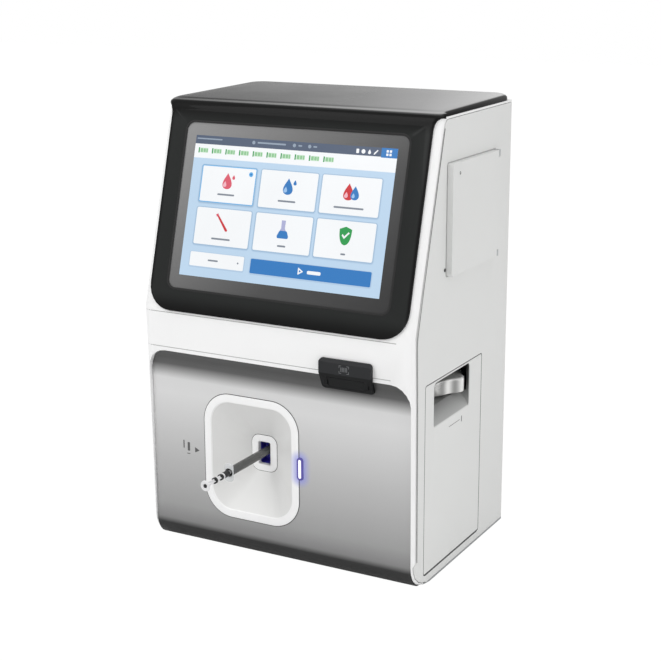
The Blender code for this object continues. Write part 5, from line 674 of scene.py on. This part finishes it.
def slabPart(outline, low, high, onto):
    # a flat outline given two levels; onto turns (a, b, level) rows into world places
    levels = np.array([low, high])[:, None, None]
    flat = np.broadcast_to(outline[None], (2, *outline.shape))
    points = np.concatenate([flat, np.broadcast_to(levels, (2, len(outline), 1))], 2)
    return gridPart(onto(points), caps=(True, True))


def turnedPart(profile, onto, steps=64, ringed=False, caps=(True, True)):
    # profile rows of (radius, along) turned about the axis; ringed joins its last row to its first
    profile = np.array(profile, float)
    angle = np.linspace(0, 2 * math.pi, steps, endpoint=False)[None, :]
    radius, along = profile[:, :1], profile[:, 1:]
    points = np.stack([radius * np.cos(angle), radius * np.sin(angle), along + 0 * angle], -1)
    return gridPart(onto(points), wrapRows=ringed, caps=(False, False) if ringed else caps)


def sweptPart(path, wide, thick, normal, closed=True, sides=8):
    # an oval section, wide along the surface and thick along its normal, carried along a path
    ahead = np.roll(path, -1, 0) - np.roll(path, 1, 0)
    if not closed:
        ahead[0], ahead[-1] = path[1] - path[0], path[-1] - path[-2]
    ahead /= np.linalg.norm(ahead, axis=1, keepdims=True)
    out = np.broadcast_to(np.array(normal, float), path.shape)
    across = np.cross(ahead, out)
    across /= np.linalg.norm(across, axis=1, keepdims=True)
    angle = np.linspace(0, 2 * math.pi, sides, endpoint=False)[None, :, None]
    points = path[:, None] + wide * np.cos(angle) * across[:, None] + thick * np.sin(angle) * out[:, None]
    return gridPart(points, wrapRows=closed, caps=(not closed, not closed))


# places on the screen plane, the front and the right side
screenSet = {
    "tilt": math.radians(15.78),
    "foot": (-103.3 * mm, 277.8 * mm),  # y and z of the display's lower edge
    "glassBack": 0.7 * mm,
    "pixel": 0.34 * mm,
}


def onScreen(points):
    # across, up the slope and out of the screen plane
    across, up, out = np.moveaxis(np.asarray(points, float), -1, 0)
    cos, sin = math.cos(screenSet["tilt"]), math.sin(screenSet["tilt"])
    y = screenSet["foot"][0] + up * sin - out * cos
    return np.stack([across, y, screenSet["foot"][1] + up * cos + out * sin], -1)


def onFront(points):
    # across, up, and out towards the viewer from y = 0
    across, up, out = np.moveaxis(np.asarray(points, float), -1, 0)
    return np.stack([across, -out, up], -1)


def onSide(points):
    # back along the right side, up, and out from x = 0
    back, up, out = np.moveaxis(np.asarray(points, float), -1, 0)
    return np.stack([out, back, up], -1)


def onRear(points):
    across, up, out = np.moveaxis(np.asarray(points, float), -1, 0)
    return np.stack([across, out, up], -1)


def upright(centre):
    # a turned piece standing on z
    return lambda points: points + np.array([centre[0], centre[1], 0.0])


def lyingBack(centre):
    # a turned piece whose axis runs along y
    def place(points):
        a, b, along = np.moveaxis(points, -1, 0)
        return np.stack([centre[0] + a, along, centre[1] + b], -1)
    return place


def lyingAcross(centre):
    # a turned piece whose axis runs along x
    def place(points):
        a, b, along = np.moveaxis(points, -1, 0)
        return np.stack([along, centre[0] + a, centre[1] + b], -1)
    return place


# what the display shows: slabs a hair thick on the glass, each set of one colour
displaySet = {
    "width": 217.0 * mm, "height": 135.6 * mm,
    "cards": {"columns": (-66.2, 0.5, 66.3), "rows": (89.8, 49.1), "size": (61.2, 35.4), "round": 1.6},
    "lights": {"start": -98.8, "pitch": 15.3, "count": 10, "at": 121.3},
    "sheet": 0.05 * mm,
}


def shown(parts, outline, layer):
    # one more slab, on a numbered layer over the glass
    base = -screenSet["glassBack"] + 0.01 * mm
    low = base + layer * displaySet["sheet"]
    parts.append(slabPart(np.asarray(outline, float) * mm, low, low + displaySet["sheet"], onScreen))


def box2d(x0, x1, s0, s1, radius=0.3, steps=4):
    return roundRect(((x0 + x1) / 2, (s0 + s1) / 2), (x1 - x0, s1 - s0), radius, 0.0, steps)


def dropShape(x, s, tall, lean=0.0, steps=36):
    # a teardrop: width sin(t) sin(t/2)^1.4 against height cos(t)
    t = np.linspace(0, 2 * math.pi, steps, endpoint=False)
    wide = 0.47 * tall * np.sin(t) * np.abs(np.sin(t / 2)) ** 1.4
    high = 0.5 * tall * np.cos(t)
    return np.stack([x + wide + lean * high, s + high], 1)


def shieldShape(x, s, wide, tall, steps=16):
    # flat crown with a raised middle, sides that run straight and then curve to a point
    across = np.linspace(-1, 1, steps)
    crown = np.stack([across * wide / 2, tall * (0.36 + 0.14 * (1 - np.abs(across)))], 1)
    down = np.linspace(0, 1, steps)[1:]
    edge = np.sqrt(np.clip(1 - down ** 2.4, 0, 1)) * wide / 2
    right = np.stack([edge, tall * (0.36 - 0.86 * down)], 1)
    left = np.stack([-edge[:-1], right[:-1, 1]], 1)[::-1]
    return np.concatenate([crown, right, left]) + np.array([x, s])


def makeDisplay():
    sets = {}

    def add(look, outline, layer):
        shown(sets.setdefault(look, []), outline, layer)

    half = displaySet["width"] / mm / 2
    head = displaySet["height"] / mm
    cards = displaySet["cards"]
    add("inkPale", box2d(-half, half, 0, head, 0.4), 0)
    add("inkSlate", box2d(-half, half, 127.4, head, 0.4), 1)
    add("inkWhite", box2d(-half, half, 113.9, 127.4, 0.2), 1)
    add("inkBlue", box2d(92.2, half, 126.7, head, 0.3), 2)
    for x in (98.4, 101.6):
        for s in (129.6, 132.7):
            add("inkWhite", box2d(x - 1.1, x + 1.1, s - 1.1, s + 1.1, 0.3), 3)
    # status marks in the bar at the top
    add("inkMist", box2d(-107.0, -78.5, 131.9, 133.1, 0.5), 2)
    add("inkMist", box2d(-39.0, -8.0, 131.4, 132.9, 0.6), 2)
    for x in (-43.2, 1.2, 17.6):
        add("inkMist", ring((x, 132.0), 1.7, 24), 2)
    for x in (6.5, 22.5):
        add("inkMist", box2d(x - 1.0, x + 3.0, 131.3, 132.7, 0.5), 2)
    add("inkWhite", box2d(66.6, 69.4, 129.2, 133.2, 0.6), 2)
    add("inkWhite", ring((73.9, 131.1), 2.0, 24), 2)
    add("inkWhite", dropShape(80.2, 131.2, 4.4), 2)
    add("inkWhite", np.array([[84.6, 128.9], [85.6, 128.9], [89.0, 132.6], [88.2, 133.4], [84.8, 130.2]]), 2)
    # ten reagent gauges
    lights = displaySet["lights"]
    for index in range(lights["count"]):
        x = lights["start"] + lights["pitch"] * index
        add("inkMint", box2d(x - 3.4, x + 5.6, lights["at"] - 2.3, lights["at"] + 2.3, 0.6), 1.5)
        for offset, wide, tall, look in ((-4.6, 1.4, 5.2, "inkGreen"), (-1.6, 2.6, 3.6, "inkLeaf"),
                                         (1.7, 2.4, 3.4, "inkLeaf"), (4.4, 1.6, 3.6, "inkLeaf")):
            add(look, box2d(x + offset - wide / 2, x + offset + wide / 2, lights["at"] - tall / 2,
                            lights["at"] + tall / 2, 0.35), 2)
    # six cards, the first one chosen
    wide, tall = cards["size"]
    for row, s in enumerate(cards["rows"]):
        for column, x in enumerate(cards["columns"]):
            for spread, look, layer in ((1.5, "inkHaze", 1), (0.8, "inkShade", 2), (0.0, "inkWhite", 3)):
                add(look, roundRect((x, s - spread * 0.35), (wide, tall), cards["round"], spread, 5), layer)
    x, s = cards["columns"][0], cards["rows"][0]
    outer = roundRect((x, s), (wide, tall), cards["round"], 0.0, 5)
    inner = roundRect((x, s), (wide, tall), cards["round"], -0.75, 5)
    low = -screenSet["glassBack"] + 0.01 * mm + 4 * displaySet["sheet"]
    levels = (low, low + displaySet["sheet"], low + displaySet["sheet"], low)
    loop = [np.column_stack([line * mm, np.full(len(line), level)])
            for line, level in zip((outer, outer, inner, inner), levels)]
    sets.setdefault("inkSky", []).append(gridPart(onScreen(np.stack(loop)), wrapRows=True))
    add("inkSky", ring((-41.6, 101.6), 2.3, 28), 4)
    add("inkBlue", ring((-41.6, 101.6), 1.0, 20), 5)
    # card pictures: drops, a tube, a flask and a shield
    add("inkRose", dropShape(-67.0, 93.6, 15.5), 4)
    add("inkRose", dropShape(-60.4, 97.6, 4.6), 4)
    add("inkBlue", dropShape(0.2, 93.4, 15.5), 4)
    add("inkBlue", dropShape(7.2, 97.4, 5.0), 4)
    add("inkRed", dropShape(64.2, 93.4, 15.8), 4)
    add("inkBlue", dropShape(70.8, 92.6, 13.0), 5)
    for x, s, size, look in ((-69.4, 90.6, 5.6, "inkGleam"), (-2.2, 90.4, 5.6, "inkDew"),
                             (62.0, 90.4, 5.6, "inkGleam"), (69.4, 90.2, 4.6, "inkDew")):
        add(look, dropShape(x, s, size, 0.1), 6)
    add("inkRed", np.array([[-74.0, 60.6], [-72.2, 61.2], [-60.2, 46.8], [-61.2, 45.2], [-62.8, 45.8]]), 4)
    add("inkRose", np.array([[-74.8, 61.2], [-72.4, 62.2], [-71.4, 59.8], [-73.8, 58.9]]), 5)
    add("inkLilac", np.array([[-1.8, 61.6], [2.6, 61.6], [2.4, 54.2], [5.0, 49.4], [-4.2, 49.4], [-1.6, 54.2]]), 4)
    add("inkBlue", easeCorners([(-3.0, 51.8), (4.8, 51.8), (7.0, 46.6), (6.4, 44.6), (-5.0, 44.6), (-5.6, 46.6)],
                               1.2, 5), 5)
    add("inkGreen", shieldShape(66.4, 53.0, 12.8, 17.2), 4)
    tick = [(62.6, 53.4), (65.4, 50.2), (70.6, 55.6), (69.6, 56.8), (65.5, 52.6), (63.6, 54.6)]
    add("inkWhite", np.array(tick), 5)
    # captions are plain bars
    for x, s, length in ((-67.0, 80.4, 19.0), (0.4, 79.4, 19.0), (66.0, 78.6, 31.0),
                         (-66.6, 37.8, 21.0), (0.8, 37.4, 9.0), (66.2, 36.2, 5.0)):
        add("inkGrey", box2d(x - length / 2, x + length / 2, s - 0.85, s + 0.85, 0.8), 4)
    # the picker and the start button
    for x0, x1, s0, s1, look in ((-98.3, -37.5, 10.0, 23.6, "inkWhite"), (-30.0, 98.0, 9.2, 23.0, "inkBlue")):
        middle, size = ((x0 + x1) / 2, (s0 + s1) / 2 - 0.4), (x1 - x0, s1 - s0)
        add("inkHaze", roundRect(middle, size, 1.2, 1.0, 5), 1)
        add(look, box2d(x0, x1, s0, s1, 1.2, 5), 3)
    add("inkGrey", box2d(-77.8, -66.4, 15.8, 17.4, 0.7), 4)
    add("inkGrey", ring((-44.0, 16.8), 0.9, 20), 4)
    add("inkWhite", easeCorners([(21.8, 12.8), (21.8, 19.8), (27.6, 16.2)], 0.8, 4), 4)
    add("inkBlue", easeCorners([(23.1, 15.0), (23.1, 17.6), (25.3, 16.2)], 0.4, 3), 5)
    add("inkWhite", box2d(31.6, 46.0, 14.4, 17.6, 1.2, 5), 4)
    for look, parts in sets.items():
        addPiece("display" + look[3:], parts, "touch_glass", look)
    print("display layers:", len(sets))


makeDisplay()


# black rubber edge round the glass
gasketSet = {"size": (240.9 * mm, 162.9 * mm), "middle": (0.0, 67.3 * mm), "round": 9.1 * mm,
             "wide": 1.1 * mm, "thick": 0.25 * mm, "level": 0.02 * mm}


def makeGasket():
    outline = roundRect(gasketSet["middle"], gasketSet["size"], gasketSet["round"], 0.0, 16)
    path = onScreen(np.column_stack([outline, np.full(len(outline), gasketSet["level"])]))
    normal = (0, -math.cos(screenSet["tilt"]), math.sin(screenSet["tilt"]))
    part = sweptPart(path, gasketSet["wide"], gasketSet["thick"], normal)
    addPiece("glassEdge", [part], "screen_hood", "rubber")


makeGasket()
print("glass edge made")


# sample port: rim and dish in one closed skin, its insert, and the seams round them
def levelled(outline, out):
    return np.column_stack([outline, np.full(len(outline), out)])


def makePort():
    s = portSet

    def outer(grow):
        return roundRect(s["middle"], s["size"], s["round"], grow, 24)

    def inner(grow=0.0):
        return roundRect(s["mouth"], s["mouthSize"], s["mouthRound"], grow, 24)

    edge = [(0.0, s["face"] - 2.5 * mm), (0.0, s["face"] - 0.7 * mm)]
    t = np.linspace(0, math.pi / 2, 5)
    edge += [(-0.6 * mm * (1 - math.cos(a)), s["face"] - 0.6 * mm * (1 - math.sin(a))) for a in t]
    edge += [(-s["rim"] + 0.5 * mm * (1 - math.sin(a)), s["face"] - 0.5 * mm * (1 - math.cos(a))) for a in t]
    rows = [levelled(outer(s["lip"]), s["face"] - 4.1 * mm), levelled(outer(s["lip"]), s["face"] - 2.5 * mm)]
    rows += [levelled(outer(grow), out) for grow, out in edge]
    # dish: outline (1-u) rim + u mouth, sunk along u with a slight hollow 6 u (1-u)^2
    start = edge[-1][1]
    share = np.linspace(0, 1, 22)[1:]
    for u in share:
        out = start + (s["deep"] - start) * u - 0.9 * mm * 6 * u * (1 - u) ** 2
        rows.append(levelled((1 - u) * outer(-s["rim"]) + u * inner(), out))
    for u in np.linspace(1, 0, 12):
        out = start + (s["deep"] - start) * u - s["wall"]
        rows.append(levelled((1 - u) * outer(-s["rim"]) + u * inner(), out))
    rows.append(levelled(outer(-s["wall"]), s["face"] - s["wall"]))
    rows.append(levelled(outer(-s["wall"]), s["face"] - 4.1 * mm))
    addPiece("portDish", [gridPart(onFront(np.stack(rows)), wrapRows=True)], "port_panel", "port",
             ["port_panel"], 30)

    def hole(grow=0.0):
        return roundRect(s["mouth"], s["hole"], s["holeRound"], grow, 24)

    face, back, soft = s["insertFace"], s["insertBack"], 0.7 * mm
    rows = [levelled(inner(), back)]
    rows += [levelled(inner(-soft * (1 - math.cos(a))), face - soft * (1 - math.sin(a))) for a in t]
    rows += [levelled(hole(soft * (1 - math.sin(a))), face - soft * (1 - math.cos(a))) for a in t]
    rows.append(levelled(hole(), back))
    addPiece("portInsert", [gridPart(onFront(np.stack(rows)), wrapRows=True)], "port_insert", "portWhite",
             ["port_insert"], 30)
    seams = []
    for outline, out, wide in ((outer(0.25 * mm), s["face"] - 0.6 * mm, 0.42 * mm),
                               (inner(0.20 * mm), s["deep"] + 0.25 * mm, 0.30 * mm)):
        seams.append(sweptPart(onFront(levelled(outline, out)), wide, 0.22 * mm, (0, -1, 0)))
    addPiece("portSeams", seams, "port_panel", "seam")


makePort()
print("port made")


# status light: a dark violet ring round a lit core
lightSet = {"middle": (24.95 * mm, 101.35 * mm), "size": (6.7 * mm, 22.7 * mm), "core": (3.1 * mm, 19.0 * mm),
            "back": 96.6 * mm, "face": 104.5 * mm}


def makeLight():
    s = lightSet
    middle, size, core = s["middle"], s["size"], s["core"]

    def outer(grow=0.0):
        return roundRect(middle, size, size[0] / 2 - 0.05 * mm, grow, 12)

    def lit(grow=0.0):
        return roundRect(middle, core, core[0] / 2 - 0.05 * mm, grow, 12)

    t = np.linspace(0, math.pi / 2, 5)
    soft = 0.6 * mm
    rows = [levelled(outer(), s["back"])]
    rows += [levelled(outer(-soft * (1 - math.cos(a))), s["face"] - soft * (1 - math.sin(a))) for a in t]
    rows += [levelled(lit(0.1 * mm), s["face"]), levelled(lit(), s["face"] - 0.6 * mm), levelled(lit(), s["back"])]
    addPiece("lightRing", [gridPart(onFront(np.stack(rows)), wrapRows=True)], "status_light", "lampRing",
             ["status_light"])
    rows = [levelled(lit(-0.05 * mm), s["back"]), levelled(lit(-0.05 * mm), s["face"] - 0.3 * mm),
            levelled(lit(-0.4 * mm), s["face"] + 0.05 * mm), levelled(lit(-1.0 * mm), s["face"] + 0.1 * mm)]
    addPiece("lightCore", [gridPart(onFront(np.stack(rows)), caps=(True, True))], "status_light", "lampCore")


makeLight()


# syringe in the port
syringeSet = {"axis": (-28.0 * mm, 102.6 * mm), "flange": (9.5 * mm, 18.0 * mm), "flangeRound": 3.17 * mm,
              "flangeSpan": (144.9 * mm, 146.4 * mm), "ribs": (1.15 * mm, 1.0 * mm),
              "barrel": ((2.0, -61.5), (2.0, -67.6), (4.2, -69.4), (4.2, -146.0), (3.3, -146.0), (3.3, -70.2),
                         (1.0, -68.4), (1.0, -61.5)),
              "seal": ((0.6, -136.5), (2.3, -137.2), (2.95, -138.0), (2.95, -138.9), (2.6, -139.3), (2.6, -140.0),
                       (2.95, -140.4), (2.95, -141.8), (2.3, -142.5)),
              "sleeve": ((2.3, -147.6), (3.0, -148.2), (3.0, -155.6), (2.3, -156.2)),
              "whiteBand": ((2.3, -156.3), (3.0, -156.5), (3.0, -158.0), (2.3, -158.3)),
              "bands": (((2.2, -158.5), (3.0, -158.8), (3.0, -161.2), (2.2, -161.5)),
                        ((2.2, -168.5), (3.0, -168.8), (3.0, -171.2), (2.2, -171.5))),
              "thumb": ((4.6, -184.9), (5.15, -185.2), (5.2, -185.7), (5.0, -186.2), (4.4, -186.4), (2.6, -186.4),
                        (2.2, -186.1)),
              "eye": ((1.9, -186.0), (1.9, -186.35), (1.5, -186.5))}


def makeSyringe():
    s = syringeSet
    place = lyingBack(s["axis"])

    def turned(rows, ease=0.3, ringed=False):
        profile = easeCorners(rows, ease, 4, ringed) * mm
        return turnedPart(profile, place, 48, ringed)

    addPiece("syringeBarrel", [turned(s["barrel"], 0.35, True)], "syringe_barrel", "smoked", ["syringe_barrel"])

    def plate(grow=0.0):
        return roundRect(s["axis"], s["flange"], s["flangeRound"], grow, 12)

    def bore(grow=0.0):
        return roundRect(s["axis"], (8.44 * mm, 8.44 * mm), 4.2 * mm, grow, 12)

    near, far = s["flangeSpan"]
    soft = 0.3 * mm
    rows = [levelled(plate(-soft), near), levelled(plate(), near + soft), levelled(plate(), far - soft),
            levelled(plate(-soft), far), levelled(bore(), far), levelled(bore(), near)]
    addPiece("syringeFlange", [gridPart(onFront(np.stack(rows)), wrapRows=True)], "syringe_barrel", "clear")
    addPiece("plungerSeal", [turned(s["seal"], 0.2)], "plunger_seal", "rubber", ["plunger_seal"])
    # four-ribbed rod: radius a + b cos(2t)^4
    angle = np.linspace(0, 2 * math.pi, 64, endpoint=False)
    radius = s["ribs"][0] + s["ribs"][1] * np.cos(2 * angle) ** 4
    rows = [np.stack([radius * np.cos(angle), radius * np.sin(angle), np.full(64, along * mm)], 1)
            for along in (-142.8, -185.2)]
    rod = [gridPart(place(np.stack(rows)), caps=(True, True)), turned(s["thumb"], 0.2)]
    addPiece("plungerRod", rod + [turned(s["whiteBand"], 0.15)], "plunger_rod", "rod", ["plunger_rod"])
    dark = [turned(rows, 0.2) for rows in (s["sleeve"], *s["bands"], s["eye"])]
    addPiece("plungerBands", dark, "plunger_rod", "black")


makeSyringe()
print("syringe made")


# lobed tank cap: each level is (radius, lobe height, z), and its radius is r + lobe cos(6t)
def makeCap():
    angle = np.linspace(0, 2 * math.pi, 144, endpoint=False)[None, :]
    level = np.array(capSet["levels"])[:, :, None] * mm
    radius = level[:, 0] + level[:, 1] * np.cos(capSet["lobes"] * angle)
    points = np.stack([radius * np.cos(angle), radius * np.sin(angle), level[:, 2] + 0 * angle], -1)
    part = gridPart(upright(capSet["middle"])(points), caps=(True, True))
    addPiece("tankCap", [part], "tank_cap", "cap", ["tank_cap"], 40)


makeCap()


# soft pieces: seals, pump hose and feet
softSet = {"gasket": ((19.0, 174.8), (22.0, 174.8), (22.0, 176.3), (19.0, 176.3)),
           "inlet": ((2.3, -61.4), (5.0, -61.4), (5.0, -66.4), (2.3, -66.4)),
           "hose": {"radius": 1.6 * mm, "bend": 16.7 * mm, "drop": 18.3 * mm},
           "foot": ((7.6, 0.0), (9.6, 0.0), (10.0, -0.4), (8.9, -3.5), (8.4, -4.0), (5.6, -4.0), (5.3, -3.5)),
           "stem": ((2.7, -0.2), (2.7, 4.6), (2.3, 5.0))}


def makeSoft():
    gasket = easeCorners(softSet["gasket"], 0.5, 5) * mm
    addPiece("tankGasket", [turnedPart(gasket, upright(capSet["middle"]), 96, True)], "tank_gasket", "rubber",
             ["tank_gasket"])
    inlet = easeCorners(softSet["inlet"], 0.9, 5) * mm
    addPiece("inletSeal", [turnedPart(inlet, lyingBack(syringeSet["axis"]), 64, True)], "inlet_seal", "rubber",
             ["inlet_seal"])
    low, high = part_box("pump_tube")
    middle = (low + high) / 2
    turn = np.linspace(math.pi, 0, 40)
    bend, crown = softSet["hose"]["bend"], high.z - softSet["hose"]["drop"]
    arc = np.stack([0 * turn + middle.x, middle.y + bend * np.cos(turn), crown + bend * np.sin(turn)], 1)
    legs = np.linspace(low.z, crown, 8)[:-1, None]
    down = [np.hstack([0 * legs + middle.x, 0 * legs + middle.y + side * bend, legs]) for side in (-1, 1)]
    path = np.concatenate([down[0], arc, down[1][::-1]])
    radius = softSet["hose"]["radius"]
    addPiece("pumpHose", [sweptPart(path, radius, radius, (1, 0, 0), False, 20)], "pump_tube", "hose",
             ["pump_tube"])
    for place in ("front_left", "front_right", "rear_left", "rear_right"):
        low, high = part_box("foot_" + place)
        centre = (low + high) / 2
        parts = [turnedPart(np.array(rows) * mm, upright(centre), 64) for rows in (softSet["foot"], softSet["stem"])]
        name = "foot" + "".join(word.capitalize() for word in place.split("_"))
        addPiece(name, parts, "foot_" + place, "rubber", ["foot_" + place])


makeSoft()
print("cap and soft pieces made")


# printed marks and screw heads, each laid at a given depth on its face
markSet = {
    "front": (  # two bars and an arrowhead left of the port
        box2d(-109.2, -107.9, 100.7, 109.0, 0.3), box2d(-104.2, -101.4, 98.6, 107.5, 0.4),
        box2d(-104.9, -101.2, 95.2, 96.1, 0.3), easeCorners([(-95.4, 97.9), (-95.4, 103.5), (-90.0, 100.7)], 0.4, 3),
    ),
    "scan": (73.6, 84.0, 206.3, 213.9),  # corner brackets round short bars, in a box
    "door": (box2d(-5.6, -4.2, 139.6, 145.4, 0.4), box2d(-34.2, -9.5, 142.4, 142.9, 0.2)),
    "cover": (-31.0, 385.0, 153.55),
    "panel": (-49.0, 297.5, 147.9),
}


def scanMarks(x0, x1, z0, z1):
    # a corner is an L of two arms; the bars stand in the middle
    shapes = []
    for x, inward in ((x0, 1), (x1, -1)):
        for z, upward in ((z0, 1), (z1, -1)):
            arm, thick = 2.4, 0.5
            corner = [(0, 0), (arm, 0), (arm, thick), (thick, thick), (thick, arm), (0, arm)]
            shapes.append(np.array([(x + inward * a, z + upward * b) for a, b in corner]))
    for x in np.linspace(x0 + 2.2, x1 - 2.2, 5):
        shapes.append(box2d(x - 0.35, x + 0.35, z0 + 1.8, z1 - 1.6, 0.1))
    return shapes


def makeMarks():
    def laid(outlines, out, thick, onto):
        return [slabPart(np.asarray(o, float) * mm, out * mm, (out + thick) * mm, onto) for o in outlines]

    addPiece("frontMarks", laid(markSet["front"], 103.30, 0.16, onFront), "fascia", "mark")
    addPiece("scanMarks", laid(scanMarks(*markSet["scan"]), 114.60, 0.16, onFront), "scanner_pod", "faint")
    addPiece("doorMarks", laid(markSet["door"], 148.20, 0.16, onSide), "drawer_front", "mark")
    for name, key, like in (("coverScrew", "cover", "side_cover"), ("panelScrew", "panel", "side_panel_right")):
        y, z, face = markSet[key]
        rows = np.array([(1.8, face), (1.8, face + 0.6), (1.5, face + 0.75), (0.6, face + 0.75), (0.5, face + 0.4)])
        addPiece(name, [turnedPart(rows * mm, lyingAcross((y * mm, z * mm)), 32)], like, "seam")


makeMarks()


# fine seams: the frame's joint down each side, the drawer's outline, and two lines across the chin, the upper one a
# painted shadow line under the bezel's step
seamSet = {"side": ((-100.9, 29.5), (-103.1, 189.0), (-104.9, 243.0), (-94.9, 280.0), (-52.2, 427.0)),
           "cover": ((9.5, 343.0), (112.8, 104.8), 2.6), "coverFace": 148.25,
           "sideFace": 148.2, "door": ((-22.7, 103.7), (129.0, 186.0), 2.6), "doorFace": 148.15,
           "foot": (-84.0, 38.0, 9.4, 10.7),
           "chin": ((-146.2, 240.4, 130.0), (-146.2, 205.0, 124.0))}


def frameFace(outline):
    # y of the white frame's face at each (x, z), found by a ray from the front
    tree = BVHTree.FromPolygons([v.co for v in nodes["front_frame"].data.vertices],
                                [tuple(p.vertices) for p in nodes["front_frame"].data.polygons])
    hits = [tree.ray_cast(Vector((x, -0.3, z)), Vector((0, 1, 0)))[0] for x, z in outline]
    return np.array([hit if hit is not None else (x, -0.11, z) for hit, (x, z) in zip(hits, outline)])


def makeSeams():
    s = seamSet
    outline = easeCorners(s["side"], 8.0, 8, False)
    path = onSide(np.column_stack([outline, np.full(len(outline), s["sideFace"])]) * mm)
    addPiece("frameSeam", [sweptPart(path, 0.35 * mm, 0.16 * mm, (1, 0, 0), False)], "front_frame", "seam")
    middle, size, radius = s["cover"]
    path = onSide(levelled(roundRect(middle, size, radius, 0.0, 8), s["coverFace"]) * mm)
    addPiece("coverOutline", [sweptPart(path, 0.6 * mm, 0.2 * mm, (1, 0, 0))], "side_panel_right", "fineLine")
    middle, size, radius = s["door"]
    path = onSide(levelled(roundRect(middle, size, radius, 0.0, 8), s["doorFace"]) * mm)
    bar = slabPart(box2d(*s["foot"], 0.4) * mm, (s["doorFace"] - 0.6) * mm, (s["doorFace"] + 0.2) * mm, onSide)
    addPiece("drawerSeam", [sweptPart(path, 0.6 * mm, 0.2 * mm, (1, 0, 0)), bar], "side_panel_right", "seam")
    parts = []
    # the line at z 240.4 is a painted shadow line under the bezel's step; the one at z 205 is the seam between the chin
    # and its trim
    for start, height, end in s["chin"]:
        across = np.linspace(start, end, 90)
        faces = frameFace(np.column_stack([across, np.full(90, height)]) * mm)
        parts.append(sweptPart(faces, 0.42 * mm, 0.12 * mm, (0, -1, 0), False))
    addPiece("chinLines", parts, "front_frame", "fineLine")


makeSeams()


# rear fasteners: a domed head with a six-sided recess, 1/cos over each sixth of a turn
screwSet = {"radius": 2.9 * mm, "tall": 1.1 * mm, "socket": 1.25 * mm, "deep": 0.8 * mm,
            "panel": ((-117, 14), (117, 14), (-117, 225), (117, 225), (-117, 424), (117, 424), (0, 424)),
            "fan": ((55, 315), (105, 315), (55, 365), (105, 365)), "face": 106.4 * mm, "fanFace": 106.4 * mm}


def screwHead(place, base):
    s = screwSet
    angle = np.linspace(0, 2 * math.pi, 48, endpoint=False)[None, :]
    lean = (angle + math.pi / 6) % (math.pi / 3) - math.pi / 6
    hexed = s["socket"] / np.cos(lean)
    rise = np.linspace(0, 1, 6)[:, None]
    # dome: radius from the rim to the socket, height sin of the way there
    radius = s["radius"] * (1 - 0.32 * rise ** 2) + 0 * angle
    along = base + s["tall"] * np.sin(rise * math.pi / 2) + 0 * angle
    radius = np.concatenate([radius[:1], radius, hexed + 0.1 * mm, hexed, hexed])
    top = base + s["tall"]
    along = np.concatenate([along[:1] - 0.3 * mm, along, np.full((1, 48), top), np.full((1, 48), top - 0.1 * mm),
                            np.full((1, 48), top - s["deep"])])
    points = np.stack([radius * np.cos(angle), radius * np.sin(angle), along], -1)
    return gridPart(place(points), caps=(True, True))


def makeScrews():
    s = screwSet
    heads = [screwHead(lyingBack((x * mm, z * mm)), s["face"]) for x, z in s["panel"]]
    addPiece("rearScrews", heads, "rear_panel", "ground")
    heads = [screwHead(lyingBack((x * mm, z * mm)), s["fanFace"]) for x, z in s["fan"]]
    addPiece("fanScrews", heads, "rear_panel", "ground")


makeScrews()
print("marks and screws made")


# stage
stageSet = {
    "floor": (0.80, 0.80, 0.80),
    "floorZ": -4 * mm,
    "floorSize": 12.0,
    "ambient": 0.68,
    "lamps": (  # name, place, size, watts
        ("keyLamp", (-0.9, -1.6, 1.9), 1.4, 18.0),
        ("sideLamp", (1.9, -0.5, 0.9), 1.2, 7.0),
        ("topLamp", (0.1, 0.2, 2.4), 1.6, 10.0),
    ),
    "aim": (0.0, 0.0, 0.22),
}


def makeStage():
    bpy.ops.mesh.primitive_plane_add(size=stageSet["floorSize"], location=(0, 0, stageSet["floorZ"]))
    floor = bpy.context.object
    floor.name = "floor"
    look = Look("floorPaper")
    look.set(Base_Color=stageSet["floor"], Roughness=0.8)
    glow = look.node("Emission", None, {"Color": (1, 1, 1), "Strength": 1.04})
    seen = look.node("LightPath", output="Is Camera Ray")
    both = look.node("MixShader", None, {0: 0.96 * seen, 1: Wire(look, look.shader.outputs[0]), 2: glow})
    look.tree.links.new(both.socket, look.tree.nodes["Material Output"].inputs["Surface"])
    floor.data.materials.append(look.material)
    for name, place, size, watts in stageSet["lamps"]:
        data = bpy.data.lights.new(name, "AREA")
        data.size = size
        data.energy = watts
        lamp = bpy.data.objects.new(name, data)
        lamp.location = place
        lamp.rotation_euler = (Vector(stageSet["aim"]) - Vector(place)).to_track_quat("-Z", "Y").to_euler()
        bpy.context.scene.collection.objects.link(lamp)
    world = bpy.data.worlds.new("studio")
    world.use_nodes = True
    bpy.context.scene.world = world
    tree = world.node_tree
    ground = tree.nodes["Background"]
    ground.inputs["Color"].default_value = (1, 1, 1, 1)
    path = tree.nodes.new("ShaderNodeLightPath")
    bright = tree.nodes.new("ShaderNodeMapRange")
    bright.inputs["To Min"].default_value = stageSet["ambient"]
    bright.inputs["To Max"].default_value = 1.0
    tree.links.new(path.outputs["Is Camera Ray"], bright.inputs["Value"])
    tree.links.new(bright.outputs[0], ground.inputs["Strength"])
    bpy.context.scene.view_settings.view_transform = "Standard"


makeStage()
print("stage set")
